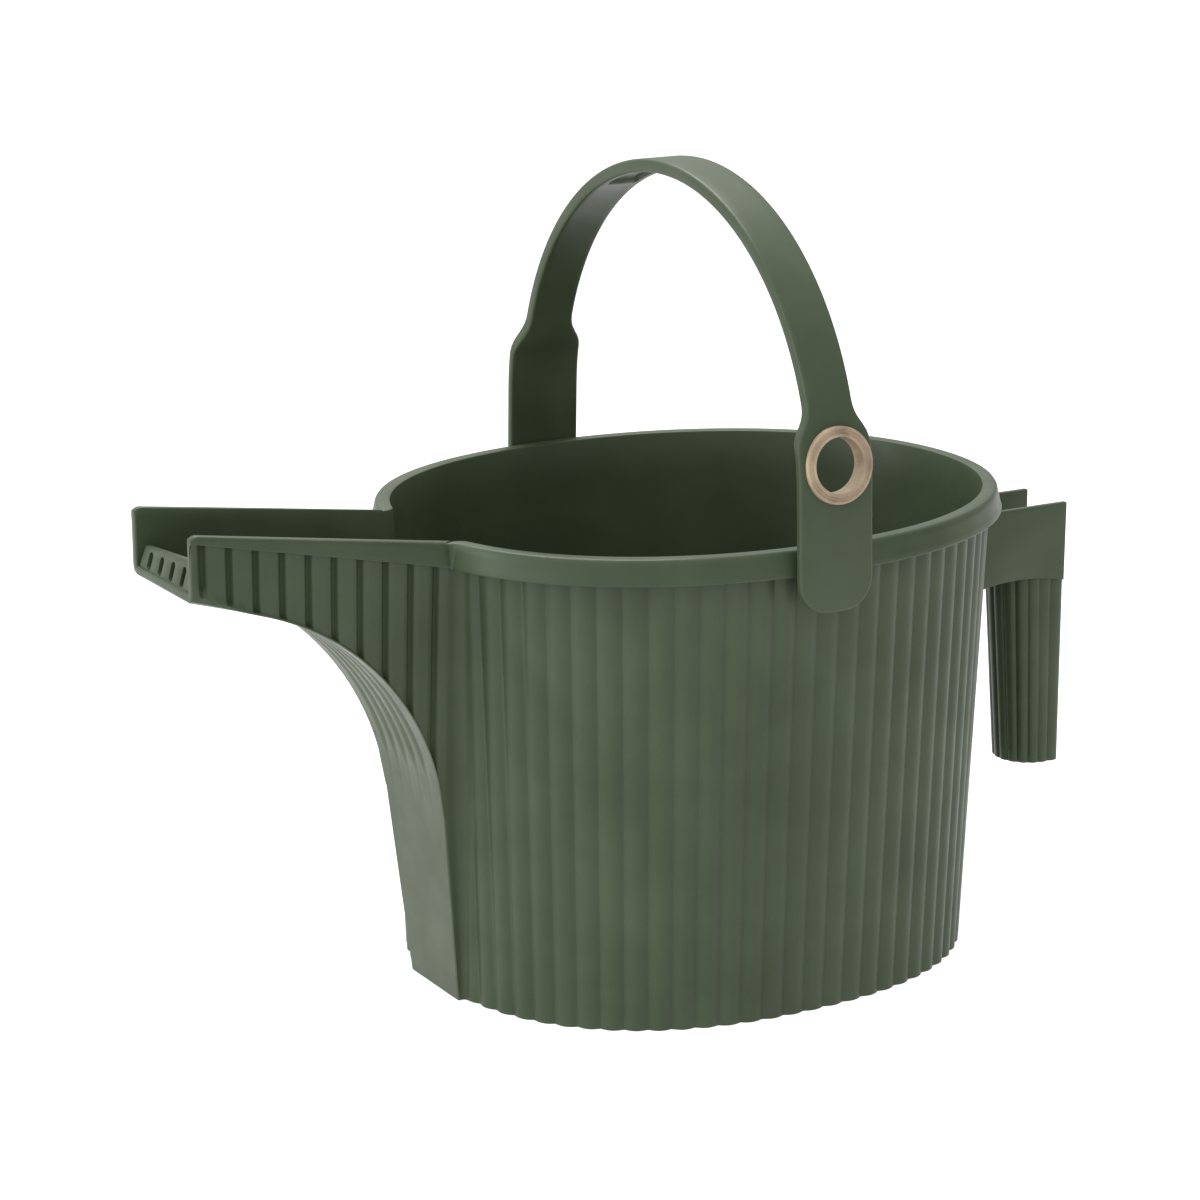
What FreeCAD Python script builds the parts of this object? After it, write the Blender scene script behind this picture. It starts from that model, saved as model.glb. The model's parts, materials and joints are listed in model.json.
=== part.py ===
import FreeCAD, Part
import math
import os

# Watering can: an oval fluted vessel with an open spout trough at -X, a rear grip at +X and a
# bail that swings about Y.  Millimetres, +Z up, origin at the middle of the vessel's base.

# ---- Driving dimensions ----

RIM_HEIGHT = 210.0          # height of the rim's top face
RIM_BAND_HEIGHT = 11.0      # height of the thick band round the rim
RIM_WIDTH = 6.5             # width of the rim's flat top face
RIM_FLARE = 2.5             # how far the band leans out from its top edge to its bottom edge
RIM_OVERHANG = 2.9          # step from the rim's top edge in to the flute crests under the band

RIM_REAR = 142.0            # rim half length behind the origin
RIM_FRONT = 142.0           # rim half length in front, where the spout replaces its tip
RIM_SIDE = 119.0            # rim half width
RIM_REAR_POWER = 2.05       # 2 is an ellipse, more is squarer
RIM_FRONT_POWER = 2.2

BASE_CENTRE = -4.5          # X of the middle of the base oval
BASE_REAR = 128.0           # base half length behind its middle
BASE_FRONT = 125.5          # and in front of it
BASE_SIDE = 110.3
BASE_POWER = 2.3

FLUTES = 74                 # rounded ribs round the whole oval
FLUTE_DEPTH = 1.5
SHELL_WALL = 2.5            # wall behind the bottom of a flute
FLOOR_WALL = 3.0
OUTLINE_POINTS = 48         # points of a smooth oval curve

MOUTH_X = -254.8            # the spout's open end
MOUTH_BOTTOM = 199.3
MOUTH_TOP = 227.0
MOUTH_HALF_WIDTH = 30.8
JUNCTION_X = -137.1         # where the spout's top edge meets the rim
JUNCTION_HALF_WIDTH = 37.6
FOOT_X = -132.0             # front panel at the base
FOOT_HALF_WIDTH = 22.7
FOOT_SLOPE = 0.098          # the front panel leans forward by this much for each unit of height
SPOUT_SLOPE = 0.325         # the spout's underside rises by this much for each unit forward
SPOUT_BEND_RADIUS = 120.0
SPOUT_WALL = 3.0
SPOUT_SIDE_WALL = 3.8
SPOUT_EDGE_BAND = 3.5       # plain strip under the spout's top edge, at the mouth
SPOUT_FIRST_GROOVE = 8.3    # from the junction to the middle of the first side groove
SPOUT_GROOVES = 10
SPOUT_GROOVE_PITCH = 11.57
SPOUT_GROOVE_WIDTH = 2.2
SPOUT_GROOVE_DEPTH = 1.2
SIDE_TOP_MARGIN = 20.0      # the side walls' upper widths hold at this height above the mouth
SIDE_FOOT_Z = -1.0          # and their lower widths at this height
UNDER_GROOVES = 5           # grooves that run up the front panel's bend and under the spout
UNDER_GROOVE_PITCH = 9.2
UNDER_GROOVE_WIDTH = 1.8
UNDER_GROOVE_DEPTH = 1.0
UNDER_GROOVE_LOW = 98.0     # height at which the middle one starts
UNDER_GROOVE_STEP = 2.5     # each pair further out starts this much higher
UNDER_GROOVE_END = 12.0     # they stop this far short of the mouth

STRAINER_HEIGHT = 13.3      # middle of the strainer's top above the mouth's lower edge
STRAINER_RISE = 0.075       # the top rises by this much for each unit towards -Y
STRAINER_WALL = 2.0
STRAINER_LEAN = 0.28        # it leans back by this much for each unit of height
STRAINER_SLOTS = 4
STRAINER_SLOT_PITCH = 11.2
STRAINER_SLOT_WIDTH = 3.8
STRAINER_SLOT_LOW = 2.8
STRAINER_SLOT_HIGH = 10.9
STRAINER_SLOT_RISE = 0.036  # the slots' tops rise the same way, less steeply
STRAINER_END_GAP = 3.5      # gap beside each wall at the strainer's top
STRAINER_END_LOW_GAP = 1.2  # and at the bottom of that gap

GRIP_HALF_WIDTH = 16.7
GRIP_WALL = 3.0
GRIP_END_X = 197.8
GRIP_LEG_END_X = 197.3
GRIP_TOP = 182.8
GRIP_ROOT_X = 119.6         # the plates start here, inside the wall, and are cut along it
GRIP_PLATE_LOW = 145.0
GRIP_PLATE_RISE = 3.0       # rise of the plates' arched lower edge
GRIP_PLATE_ROOT_DROP = 2.0  # the arch starts this much lower at the wall
GRIP_ARCH_X = 172.1         # highest point of the arch
GRIP_END_LEAN = 0.3         # the end's lower corner stands back by this much
GRIP_LEG_BOTTOM = 55.2
GRIP_NOSE_TOP_X = 183.2     # middle of the rounded nose, at the plates
GRIP_NOSE_BOTTOM_X = 190.4
GRIP_LEG_INSET = 0.5        # the leg's ribs stand this far inside the plates' faces
GRIP_LEG_OVERLAP = 0.6      # the leg runs this far up past the top of the arch
GRIP_RIBS = 12
GRIP_RIB_DEPTH = 0.8

PIVOT_X = -6.5
PIVOT_Z = 200.0
STUD_RADIUS = 4.0
STUD_CLEARANCE = 0.08
STUD_END_GAP = 0.4          # between the stud's end and the bottom of its socket
BOSS_RADIUS = 8.0
BOSS_FACE = 121.4           # Y of the boss's outer face
SOCKET_DEPTH = 6.2

BAIL_HALF_SPAN = 125.75     # outer half width of the arch
BAIL_RISE = 126.0           # outer height of the arch above its springing line
BAIL_SPRING_Z = 231.2
STRAP_WIDTH = 22.4
STRAP_THICKNESS = 5.9
TAB_WIDTH = 36.0
TAB_THICKNESS = 4.3
TAB_BOTTOM = 183.3
TAB_CORNER = 14.0
TAB_LEAN = 0.03             # the tabs spread by this much for each unit down
TAB_THIN_TOP = 250.0        # the inner face steps in to the strap between these heights
STRAP_THICK_LOW = 262.0
TAB_STEP_IN = 6.4           # how far the top of that step stands in
SHOULDER_LOW = 252.0
SHOULDER_HIGH = 272.0
HOLLOW_HALF_LENGTH = 52.0   # shallow hand hollow under the crown
HOLLOW_WIDTH = 15.0
HOLLOW_DEPTH = 1.8

RING_X = -5.6
RING_Z = 245.3
RING_OUTER = 16.3
RING_SLEEVE = 13.6
RING_BORE = 11.7
RING_DEPTH = 7.6
RING_FLANGE = 2.6
RING_EDGE = 0.7
RING_LEAN_DEG = 6.4

# ---- Values worked out from them ----

BAND_LOW = RIM_HEIGHT - RIM_BAND_HEIGHT
REACH = 400.0               # longer than half the can
OVERRUN = 12.0              # cutting shapes run past the faces they cut by this much
SHORT_OVERRUN = 1.0         # or by this much where their own slope matters
CHIP_VOLUME = 1.0           # loose chips of a cut smaller than this are dropped
SPOUT_NODE_FLUTE = 32       # the spout's node meets the shell's along this flute's crest
SPOUT_NODE_INWARD = 14.0    # the cut between them starts this far inside the crest
SPOUT_NODE_OUTWARD = 150.0
SPOUT_NODE_TURN_DEG = 158.0 # and runs at this angle to +X, square to the wall
RIM_TOP_OVAL = (0.0, RIM_REAR, RIM_FRONT, RIM_SIDE, RIM_REAR_POWER, RIM_FRONT_POWER)
BASE_OVAL = (BASE_CENTRE, BASE_REAR, BASE_FRONT, BASE_SIDE, BASE_POWER, BASE_POWER)


def vec(x, y, z):
    return FreeCAD.Vector(x, y, z)


def grown(oval, margin):
    """The same kind of oval with every half size larger by margin."""
    centre, rear, front, side, rear_power, front_power = oval
    return (centre, rear + margin, front + margin, side + margin, rear_power, front_power)


def oval_point(oval, turn):
    """Point of an oval outline at an angle, starting at the rear and going towards +Y."""
    centre, rear, front, side, rear_power, front_power = oval
    cosine = math.cos(turn)
    sine = math.sin(turn)
    length, power = (rear, rear_power) if cosine >= 0 else (front, front_power)
    x = centre + math.copysign(length * abs(cosine) ** (2.0 / power), cosine)
    y = math.copysign(side * abs(sine) ** (2.0 / power), sine)
    return x, y


def even_points(oval, count, shift=0.0):
    """Points at equal distances along an oval outline."""
    fine = 2880
    trail = [oval_point(oval, 2.0 * math.pi * k / fine) for k in range(fine + 1)]
    run = [0.0]
    for k in range(fine):
        step = math.hypot(trail[k + 1][0] - trail[k][0], trail[k + 1][1] - trail[k][1])
        run.append(run[-1] + step)
    points = []
    k = 0
    for i in range(count):
        goal = run[-1] * (i + shift) / count
        while run[k + 1] < goal:
            k += 1
        part = (goal - run[k]) / (run[k + 1] - run[k])
        x = trail[k][0] + part * (trail[k + 1][0] - trail[k][0])
        y = trail[k][1] + part * (trail[k + 1][1] - trail[k][1])
        points.append((x, y))
    return points


def smooth_wire(oval, z):
    """Closed smooth curve along an oval at height z."""
    points = [vec(x, y, z) for x, y in even_points(oval, OUTLINE_POINTS)]
    curve = Part.BSplineCurve()
    curve.interpolate(points, PeriodicFlag=True)
    return Part.Wire([curve.toShape()])


def fluted_wire(oval, z):
    """Closed row of outward arcs, one for each flute, whose crests touch the oval."""
    valleys = [vec(x, y, z) for x, y in even_points(grown(oval, -FLUTE_DEPTH), FLUTES)]
    crests = [vec(x, y, z) for x, y in even_points(oval, FLUTES, 0.5)]
    edges = []
    for i in range(FLUTES):
        arc = Part.Arc(valleys[i], crests[i], valleys[(i + 1) % FLUTES])
        edges.append(arc.toShape())
    return Part.Wire(edges)


def ruled_solid(low_wire, high_wire):
    return Part.makeLoft([low_wire, high_wire], True, True)


def prism_xz(points, half_depth):
    """Solid from (x, z) corners of an outline in the XZ plane, centred on Y."""
    wire = Part.makePolygon([vec(x, -half_depth, z) for x, z in points + points[:1]])
    return Part.Face(wire).extrude(vec(0, 2.0 * half_depth, 0))


def block(low, high):
    size = [b - a for a, b in zip(low, high)]
    return Part.makeBox(size[0], size[1], size[2], vec(*low))


# ---- Spout ----

def front_profile(inset):
    """The front panel and the spout's underside in XZ: two straight lines and the arc between
    them, moved towards the water by inset.  Returns foot, first tangent point, arc middle,
    second tangent point and mouth."""
    foot_turn = math.atan(FOOT_SLOPE)
    spout_turn = math.atan(SPOUT_SLOPE)
    foot_x = FOOT_X + inset / math.cos(foot_turn)
    mouth_z = MOUTH_BOTTOM + inset / math.cos(spout_turn)
    corner_z = mouth_z - SPOUT_SLOPE * (foot_x - MOUTH_X)
    corner_z /= 1.0 - SPOUT_SLOPE * FOOT_SLOPE
    corner_x = foot_x - FOOT_SLOPE * corner_z
    turn = math.pi / 2.0 - foot_turn - spout_turn
    radius = SPOUT_BEND_RADIUS + inset
    tangent = radius * math.tan(turn / 2.0)
    first = (corner_x + tangent * math.sin(foot_turn), corner_z - tangent * math.cos(foot_turn))
    second = (corner_x - tangent * math.cos(spout_turn), corner_z + tangent * math.sin(spout_turn))
    centre = (first[0] - radius * math.cos(foot_turn), first[1] - radius * math.sin(foot_turn))
    away = math.hypot(corner_x - centre[0], corner_z - centre[1])
    middle = (centre[0] + (corner_x - centre[0]) * radius / away,
              centre[1] + (corner_z - centre[1]) * radius / away)
    return (foot_x, 0.0), first, middle, second, (MOUTH_X, mouth_z)


def spout_edge_height(x):
    """Height of the spout's straight top edge above a place on the X axis."""
    part = (JUNCTION_X - x) / (JUNCTION_X - MOUTH_X)
    return RIM_HEIGHT + part * (MOUTH_TOP - RIM_HEIGHT)


def spout_side_prism(inset, top_extra, mouth_extra, floor):
    """Everything between the front profile and the spout's top edge, as a prism across Y."""
    foot, first, middle, second, mouth = front_profile(inset)
    inner_x = BASE_CENTRE - BASE_FRONT / 2.0
    y = -REACH / 2.0
    foot_low = (foot[0] - FOOT_SLOPE * floor, floor)
    tip = (mouth[0] - mouth_extra, mouth[1] + SPOUT_SLOPE * mouth_extra)
    tip_top = (tip[0], spout_edge_height(tip[0]) + top_extra)
    junction_top = (JUNCTION_X, RIM_HEIGHT + top_extra)
    inner_top = (inner_x, RIM_HEIGHT + top_extra)
    inner_low = (inner_x, floor)
    arc = Part.Arc(vec(first[0], y, first[1]), vec(middle[0], y, middle[1]),
                   vec(second[0], y, second[1]))
    corners = [second, tip, tip_top, junction_top, inner_top, inner_low, foot_low, first]
    edges = [arc.toShape()]
    for a, b in zip(corners, corners[1:]):
        edges.append(Part.LineSegment(vec(a[0], y, a[1]), vec(b[0], y, b[1])).toShape())
    return Part.Face(Part.Wire(edges)).extrude(vec(0, REACH, 0))


def spout_envelope(inset):
    """The space between the spout's two side walls, narrower at the mouth and at the foot."""
    far_x = MOUTH_X - OVERRUN
    near_x = BASE_CENTRE
    top_z = MOUTH_TOP + SIDE_TOP_MARGIN
    low_slope = (JUNCTION_HALF_WIDTH - MOUTH_HALF_WIDTH) / (JUNCTION_X - MOUTH_X)
    foot_slope = (MOUTH_HALF_WIDTH - FOOT_HALF_WIDTH) / (JUNCTION_X - MOUTH_X)

    def top_half(x):
        return MOUTH_HALF_WIDTH + low_slope * (x - MOUTH_X) - inset

    def foot_half(x):
        return FOOT_HALF_WIDTH + foot_slope * (JUNCTION_X - x) - inset

    def ring(half, z):
        corners = [(far_x, -half(far_x)), (near_x, -half(near_x)),
                   (near_x, half(near_x)), (far_x, half(far_x))]
        return Part.makePolygon([vec(x, y, z) for x, y in corners + corners[:1]])

    return ruled_solid(ring(foot_half, SIDE_FOOT_Z), ring(top_half, top_z))


def spout_outer():
    return spout_side_prism(0.0, 0.0, 0.0, 0.0).common(spout_envelope(0.0))


def spout_channel():
    """The space that water fills between the spout's walls."""
    inside = spout_side_prism(SPOUT_WALL, OVERRUN, OVERRUN, FLOOR_WALL)
    return inside.common(spout_envelope(SPOUT_SIDE_WALL))


def spout_grooves():
    """Upright grooves in both side walls, below the plain strip along the top edge."""
    band = (RIM_BAND_HEIGHT, SPOUT_EDGE_BAND)
    slabs = []
    for i in range(SPOUT_GROOVES):
        middle = JUNCTION_X - SPOUT_FIRST_GROOVE - SPOUT_GROOVE_PITCH * i
        x0 = middle - SPOUT_GROOVE_WIDTH / 2.0
        x1 = middle + SPOUT_GROOVE_WIDTH / 2.0
        part = (JUNCTION_X - x0) / (JUNCTION_X - MOUTH_X)
        top = spout_edge_height(x0) - band[0] - part * (band[1] - band[0])
        slabs.append(prism_xz([(x0, 0.0), (x1, 0.0), (x1, top), (x0, top)], REACH / 4.0))
    keep = spout_envelope(SPOUT_GROOVE_DEPTH)
    return Part.makeCompound(slabs).cut(keep)


def under_grooves():
    """Fine grooves up the front panel's bend and along the spout's underside."""
    skin = spout_side_prism(0.0, 0.0, 0.0, 0.0)
    skin = skin.cut(spout_side_prism(UNDER_GROOVE_DEPTH, OVERRUN, OVERRUN, -OVERRUN))
    half = UNDER_GROOVE_WIDTH / 2.0
    slabs = []
    for i in range(UNDER_GROOVES):
        place = i - (UNDER_GROOVES - 1) / 2.0
        y = place * UNDER_GROOVE_PITCH
        low = UNDER_GROOVE_LOW + UNDER_GROOVE_STEP * abs(place)
        slabs.append(block((MOUTH_X + UNDER_GROOVE_END, y - half, low), (FOOT_X, y + half, MOUTH_TOP)))
    return Part.makeCompound(slabs).common(skin)


def spout_strainer(channel):
    """Slotted plate across the mouth, fitted between the floor and the side walls."""
    low = MOUTH_BOTTOM - SHORT_OVERRUN
    highest = STRAINER_HEIGHT + STRAINER_RISE * MOUTH_HALF_WIDTH
    lowest = STRAINER_HEIGHT - STRAINER_RISE * MOUTH_HALF_WIDTH
    high = MOUTH_BOTTOM + highest
    lean = STRAINER_LEAN * (high - low)
    plate = prism_xz([(MOUTH_X, low), (MOUTH_X + STRAINER_WALL, low),
                      (MOUTH_X + STRAINER_WALL + lean, high), (MOUTH_X + lean, high)],
                     MOUTH_HALF_WIDTH)
    radius = STRAINER_SLOT_WIDTH / 2.0
    slot_low = MOUTH_BOTTOM + STRAINER_SLOT_LOW + radius
    start = MOUTH_X - OVERRUN
    length = 3.0 * OVERRUN
    above = [(-MOUTH_HALF_WIDTH, high), (MOUTH_HALF_WIDTH, MOUTH_BOTTOM + lowest), (MOUTH_HALF_WIDTH, high)]
    wire = Part.makePolygon([vec(start, y, z) for y, z in above + above[:1]])
    plate = plate.cut(Part.Face(wire).extrude(vec(length, 0, 0)))
    for i in range(STRAINER_SLOTS):
        y = (i - (STRAINER_SLOTS - 1) / 2.0) * STRAINER_SLOT_PITCH
        slot_high = MOUTH_BOTTOM + STRAINER_SLOT_HIGH - STRAINER_SLOT_RISE * y - radius
        slot = block((start, y - radius, slot_low), (start + length, y + radius, slot_high))
        for z in (slot_low, slot_high):
            slot = slot.fuse(Part.makeCylinder(radius, length, vec(start, y, z), vec(1, 0, 0)))
        plate = plate.cut(slot)
    wall = MOUTH_HALF_WIDTH - SPOUT_SIDE_WALL
    notch_low = MOUTH_BOTTOM + STRAINER_SLOT_LOW
    for side in (-1.0, 1.0):
        corners = [(wall - STRAINER_END_LOW_GAP, notch_low), (wall + OVERRUN, notch_low),
                   (wall + OVERRUN, high), (wall - STRAINER_END_GAP, high)]
        wire = Part.makePolygon([vec(start, side * y, z) for y, z in corners + corners[:1]])
        plate = plate.cut(Part.Face(wire).extrude(vec(length, 0, 0)))
    return plate.common(channel)


# ---- Vessel ----

def crest_oval():
    return grown(RIM_TOP_OVAL, -RIM_OVERHANG)


def vessel_space():
    """The smooth hollow of the vessel, from its floor up through the rim."""
    low = grown(BASE_OVAL, -FLUTE_DEPTH - SHELL_WALL)
    high = grown(RIM_TOP_OVAL, -RIM_WIDTH)
    return ruled_solid(smooth_wire(low, FLOOR_WALL), smooth_wire(high, RIM_HEIGHT))


def pivot_bosses():
    bosses = []
    for side in (-1.0, 1.0):
        start = vec(PIVOT_X, side * (RIM_SIDE - RIM_WIDTH), PIVOT_Z)
        length = BOSS_FACE - RIM_SIDE + RIM_WIDTH
        bosses.append(Part.makeCylinder(BOSS_RADIUS, length, start, vec(0, side, 0)))
    return bosses


def pivot_sockets():
    sockets = []
    for side in (-1.0, 1.0):
        start = vec(PIVOT_X, side * (BOSS_FACE + OVERRUN), PIVOT_Z)
        radius = STUD_RADIUS + STUD_CLEARANCE
        sockets.append(Part.makeCylinder(radius, SOCKET_DEPTH + OVERRUN, start, vec(0, -side, 0)))
    return sockets


def vessel_moulding(channel):
    """The vessel, its rim band and its spout, as the one moulding that they are."""
    body = ruled_solid(fluted_wire(BASE_OVAL, 0.0), fluted_wire(crest_oval(), BAND_LOW))
    low_oval = grown(RIM_TOP_OVAL, RIM_FLARE)
    band = ruled_solid(smooth_wire(low_oval, BAND_LOW), smooth_wire(RIM_TOP_OVAL, RIM_HEIGHT))
    spout = spout_outer().cut(spout_grooves()).cut(under_grooves())
    front = block((JUNCTION_X - OVERRUN, -FOOT_HALF_WIDTH, -OVERRUN),
                  (FOOT_X, FOOT_HALF_WIDTH, BAND_LOW))
    body = body.cut(front).fuse(band).fuse(spout)
    for boss in pivot_bosses():
        body = body.fuse(boss)
    body = body.cut(vessel_space()).cut(channel)
    for socket in pivot_sockets():
        body = body.cut(socket)
    return body


# ---- Rear grip ----

def grip_path(nose_x, inset):
    """Points round the leg at equal distances, along one side, the nose and the other side."""
    radius = GRIP_HALF_WIDTH - inset
    straight = GRIP_LEG_END_X - nose_x
    total = 2.0 * straight + math.pi * radius

    def place(run):
        if run < straight:
            return GRIP_LEG_END_X - run, -radius
        if run > total - straight:
            return GRIP_LEG_END_X - (total - run), radius
        turn = (run - straight) / radius
        return nose_x - radius * math.sin(turn), -radius * math.cos(turn)

    return place, total


def grip_leg_wire(nose_x, z):
    crest_at, crest_total = grip_path(nose_x, GRIP_LEG_INSET)
    valley_at, valley_total = grip_path(nose_x, GRIP_LEG_INSET + GRIP_RIB_DEPTH)
    edges = []
    for i in range(GRIP_RIBS):
        start = valley_at(valley_total * i / GRIP_RIBS)
        crest = crest_at(crest_total * (i + 0.5) / GRIP_RIBS)
        end = valley_at(valley_total * (i + 1) / GRIP_RIBS)
        edges.append(Part.Arc(vec(*start, z), vec(*crest, z), vec(*end, z)).toShape())
    first = valley_at(0.0)
    last = valley_at(valley_total)
    edges.append(Part.LineSegment(vec(*last, z), vec(*first, z)).toShape())
    return Part.Wire(edges)


def grip_leg_space_wire(nose_x, z):
    radius = GRIP_HALF_WIDTH - GRIP_WALL
    open_x = GRIP_LEG_END_X + OVERRUN
    nose = Part.Arc(vec(nose_x, -radius, z), vec(nose_x - radius, 0, z), vec(nose_x, radius, z))
    corners = [vec(nose_x, radius, z), vec(open_x, radius, z), vec(open_x, -radius, z),
               vec(nose_x, -radius, z)]
    edges = [nose.toShape()]
    for a, b in zip(corners, corners[1:]):
        edges.append(Part.LineSegment(a, b).toShape())
    return Part.Wire(edges)


def grip_plate(side):
    """One flat plate from the vessel's wall out to the grip's end, arched underneath."""
    y = side * GRIP_HALF_WIDTH
    arch_end = vec(GRIP_END_X - GRIP_END_LEAN, y, GRIP_PLATE_LOW)
    arch_top = vec(GRIP_ARCH_X, y, GRIP_PLATE_LOW + GRIP_PLATE_RISE)
    arch_start = vec(GRIP_ROOT_X, y, GRIP_PLATE_LOW - GRIP_PLATE_ROOT_DROP)
    top_start = vec(GRIP_ROOT_X, y, GRIP_TOP)
    top_end = vec(GRIP_END_X, y, GRIP_TOP)
    edges = [Part.Arc(arch_start, arch_top, arch_end).toShape(),
             Part.LineSegment(arch_end, top_end).toShape(),
             Part.LineSegment(top_end, top_start).toShape(),
             Part.LineSegment(top_start, arch_start).toShape()]
    return Part.Face(Part.Wire(edges)).extrude(vec(0, -side * GRIP_WALL, 0))


def rear_grip():
    """Two plates and the hollow ribbed leg that hangs from them, open behind."""
    top = GRIP_PLATE_LOW + GRIP_PLATE_RISE + GRIP_LEG_OVERLAP
    leg = ruled_solid(grip_leg_wire(GRIP_NOSE_BOTTOM_X, GRIP_LEG_BOTTOM),
                      grip_leg_wire(GRIP_NOSE_TOP_X, top))
    leg = leg.fuse(grip_plate(-1.0)).fuse(grip_plate(1.0))
    low_space = grip_leg_space_wire(GRIP_NOSE_BOTTOM_X, GRIP_LEG_BOTTOM - SHORT_OVERRUN)
    high_space = grip_leg_space_wire(GRIP_NOSE_TOP_X, GRIP_TOP + SHORT_OVERRUN)
    space = ruled_solid(low_space, high_space)
    body = ruled_solid(fluted_wire(BASE_OVAL, 0.0), fluted_wire(crest_oval(), BAND_LOW))
    return leg.cut(space).cut(body)


# ---- Bail ----

def arch_half(half_span, rise, z):
    """Half width of an elliptical arch at a height."""
    part = (z - BAIL_SPRING_Z) / rise
    return half_span * math.sqrt(max(0.0, 1.0 - part * part))


def arch_solid(half_span, rise, foot_extra):
    """Everything under an arch: an ellipse on top, and sides that spread towards the tabs."""
    start_z = BAIL_SPRING_Z + TAB_LEAN * rise * rise / half_span
    half = arch_half(half_span, rise, start_z)
    low_half = half + TAB_LEAN * (start_z - TAB_BOTTOM + foot_extra)
    x = -TAB_WIDTH
    crown = vec(x, 0, BAIL_SPRING_Z + rise)
    ellipse = Part.Ellipse(crown, vec(x, half_span, BAIL_SPRING_Z), vec(x, 0, BAIL_SPRING_Z))
    right = vec(x, half, start_z)
    left = vec(x, -half, start_z)
    turn = math.acos((start_z - BAIL_SPRING_Z) / rise)
    arc = Part.ArcOfEllipse(ellipse, 2.0 * math.pi - turn, 2.0 * math.pi + turn)
    low = TAB_BOTTOM - foot_extra
    corners = [left, vec(x, -low_half, low), vec(x, low_half, low), right]
    edges = [arc.toShape()]
    for a, b in zip(corners, corners[1:]):
        edges.append(Part.LineSegment(a, b).toShape())
    face = Part.Face(Part.Wire(Part.__sortEdges__(edges)))
    return face.extrude(vec(2.0 * TAB_WIDTH, 0, 0))


def bail_side_outline():
    """The bail seen from the side: a strap that widens by curved shoulders into the tabs."""
    strap = STRAP_WIDTH / 2.0
    tab = TAB_WIDTH / 2.0
    top = BAIL_SPRING_Z + BAIL_RISE + OVERRUN
    middle_x = (strap + tab) / 2.0
    middle_z = (SHOULDER_LOW + SHOULDER_HIGH) / 2.0
    y = -REACH / 2.0
    low = TAB_BOTTOM + TAB_CORNER
    bow = TAB_CORNER * (1.0 - math.sqrt(0.5))

    def at(side, x, z):
        return vec(PIVOT_X + side * x, y, z)

    edges = []
    for side in (-1.0, 1.0):
        poles = [at(side, strap, SHOULDER_HIGH), at(side, strap, middle_z),
                 at(side, tab, middle_z), at(side, tab, SHOULDER_LOW)]
        shoulder = Part.BezierCurve()
        shoulder.setPoles(poles)
        corner = Part.Arc(at(side, tab, low), at(side, tab - bow, TAB_BOTTOM + bow),
                          at(side, tab - TAB_CORNER, TAB_BOTTOM))
        edges.append(Part.LineSegment(at(side, strap, top), poles[0]).toShape())
        edges.append(shoulder.toShape())
        edges.append(Part.LineSegment(poles[3], at(side, tab, low)).toShape())
        edges.append(corner.toShape())
    edges.append(Part.LineSegment(at(-1.0, strap, top), at(1.0, strap, top)).toShape())
    edges.append(Part.LineSegment(at(-1.0, tab - TAB_CORNER, TAB_BOTTOM),
                                  at(1.0, tab - TAB_CORNER, TAB_BOTTOM)).toShape())
    wire = Part.Wire(Part.__sortEdges__(edges))
    return Part.Face(wire).extrude(vec(0, REACH, 0))


def bail_inner_space():
    """The space under the arch: wider between the thin tabs than between the strap's sides."""
    tabs = arch_solid(BAIL_HALF_SPAN - TAB_THICKNESS, BAIL_RISE - TAB_THICKNESS, OVERRUN)
    strap = arch_solid(BAIL_HALF_SPAN - STRAP_THICKNESS, BAIL_RISE - STRAP_THICKNESS, OVERRUN)
    wide = BAIL_HALF_SPAN + OVERRUN
    low = TAB_BOTTOM - 2.0 * OVERRUN
    step_low = arch_half(BAIL_HALF_SPAN - TAB_THICKNESS, BAIL_RISE, TAB_THIN_TOP)
    step_high = step_low - TAB_STEP_IN
    corners = [(-wide, low), (wide, low), (wide, TAB_THIN_TOP), (step_low, TAB_THIN_TOP),
               (step_high, STRAP_THICK_LOW), (-step_high, STRAP_THICK_LOW),
               (-step_low, TAB_THIN_TOP), (-wide, TAB_THIN_TOP)]
    wire = Part.makePolygon([vec(-TAB_WIDTH, y, z) for y, z in corners + corners[:1]])
    low_zone = Part.Face(wire).extrude(vec(2.0 * TAB_WIDTH, 0, 0))
    return strap.fuse(tabs.common(low_zone))


def hand_hollow():
    """Shallow hollow under the crown, where the fingers close round the strap."""
    outer = arch_solid(BAIL_HALF_SPAN - STRAP_THICKNESS + HOLLOW_DEPTH,
                       BAIL_RISE - STRAP_THICKNESS + HOLLOW_DEPTH, OVERRUN)
    half = HOLLOW_WIDTH / 2.0
    box = block((PIVOT_X - half, -HOLLOW_HALF_LENGTH, BAIL_SPRING_Z),
                (PIVOT_X + half, HOLLOW_HALF_LENGTH, BAIL_SPRING_Z + BAIL_RISE))
    return outer.common(box)


def pivot_studs():
    """The two studs on the tabs' inner faces, which turn in the rim's sockets."""
    start_half = BAIL_HALF_SPAN - TAB_THICKNESS / 2.0
    inner = BOSS_FACE - SOCKET_DEPTH + STUD_END_GAP
    studs = []
    for side in (-1.0, 1.0):
        tip = vec(PIVOT_X, side * inner, PIVOT_Z)
        studs.append(Part.makeCylinder(STUD_RADIUS, start_half - inner, tip, vec(0, side, 0)))
    return studs


def bail_handle(rings):
    arch = arch_solid(BAIL_HALF_SPAN, BAIL_RISE, 0.0).cut(bail_inner_space())
    arch = arch.common(bail_side_outline()).cut(hand_hollow())
    for stud in pivot_studs():
        arch = arch.fuse(stud)
    for ring in rings:
        arch = arch.cut(ring)
    return arch.cut(ring_hole())


# ---- Ring in the near tab ----

def ring_middle():
    y = arch_half(BAIL_HALF_SPAN, BAIL_RISE, RING_Z) - TAB_THICKNESS / 2.0
    return vec(RING_X, -y, RING_Z)


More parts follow.
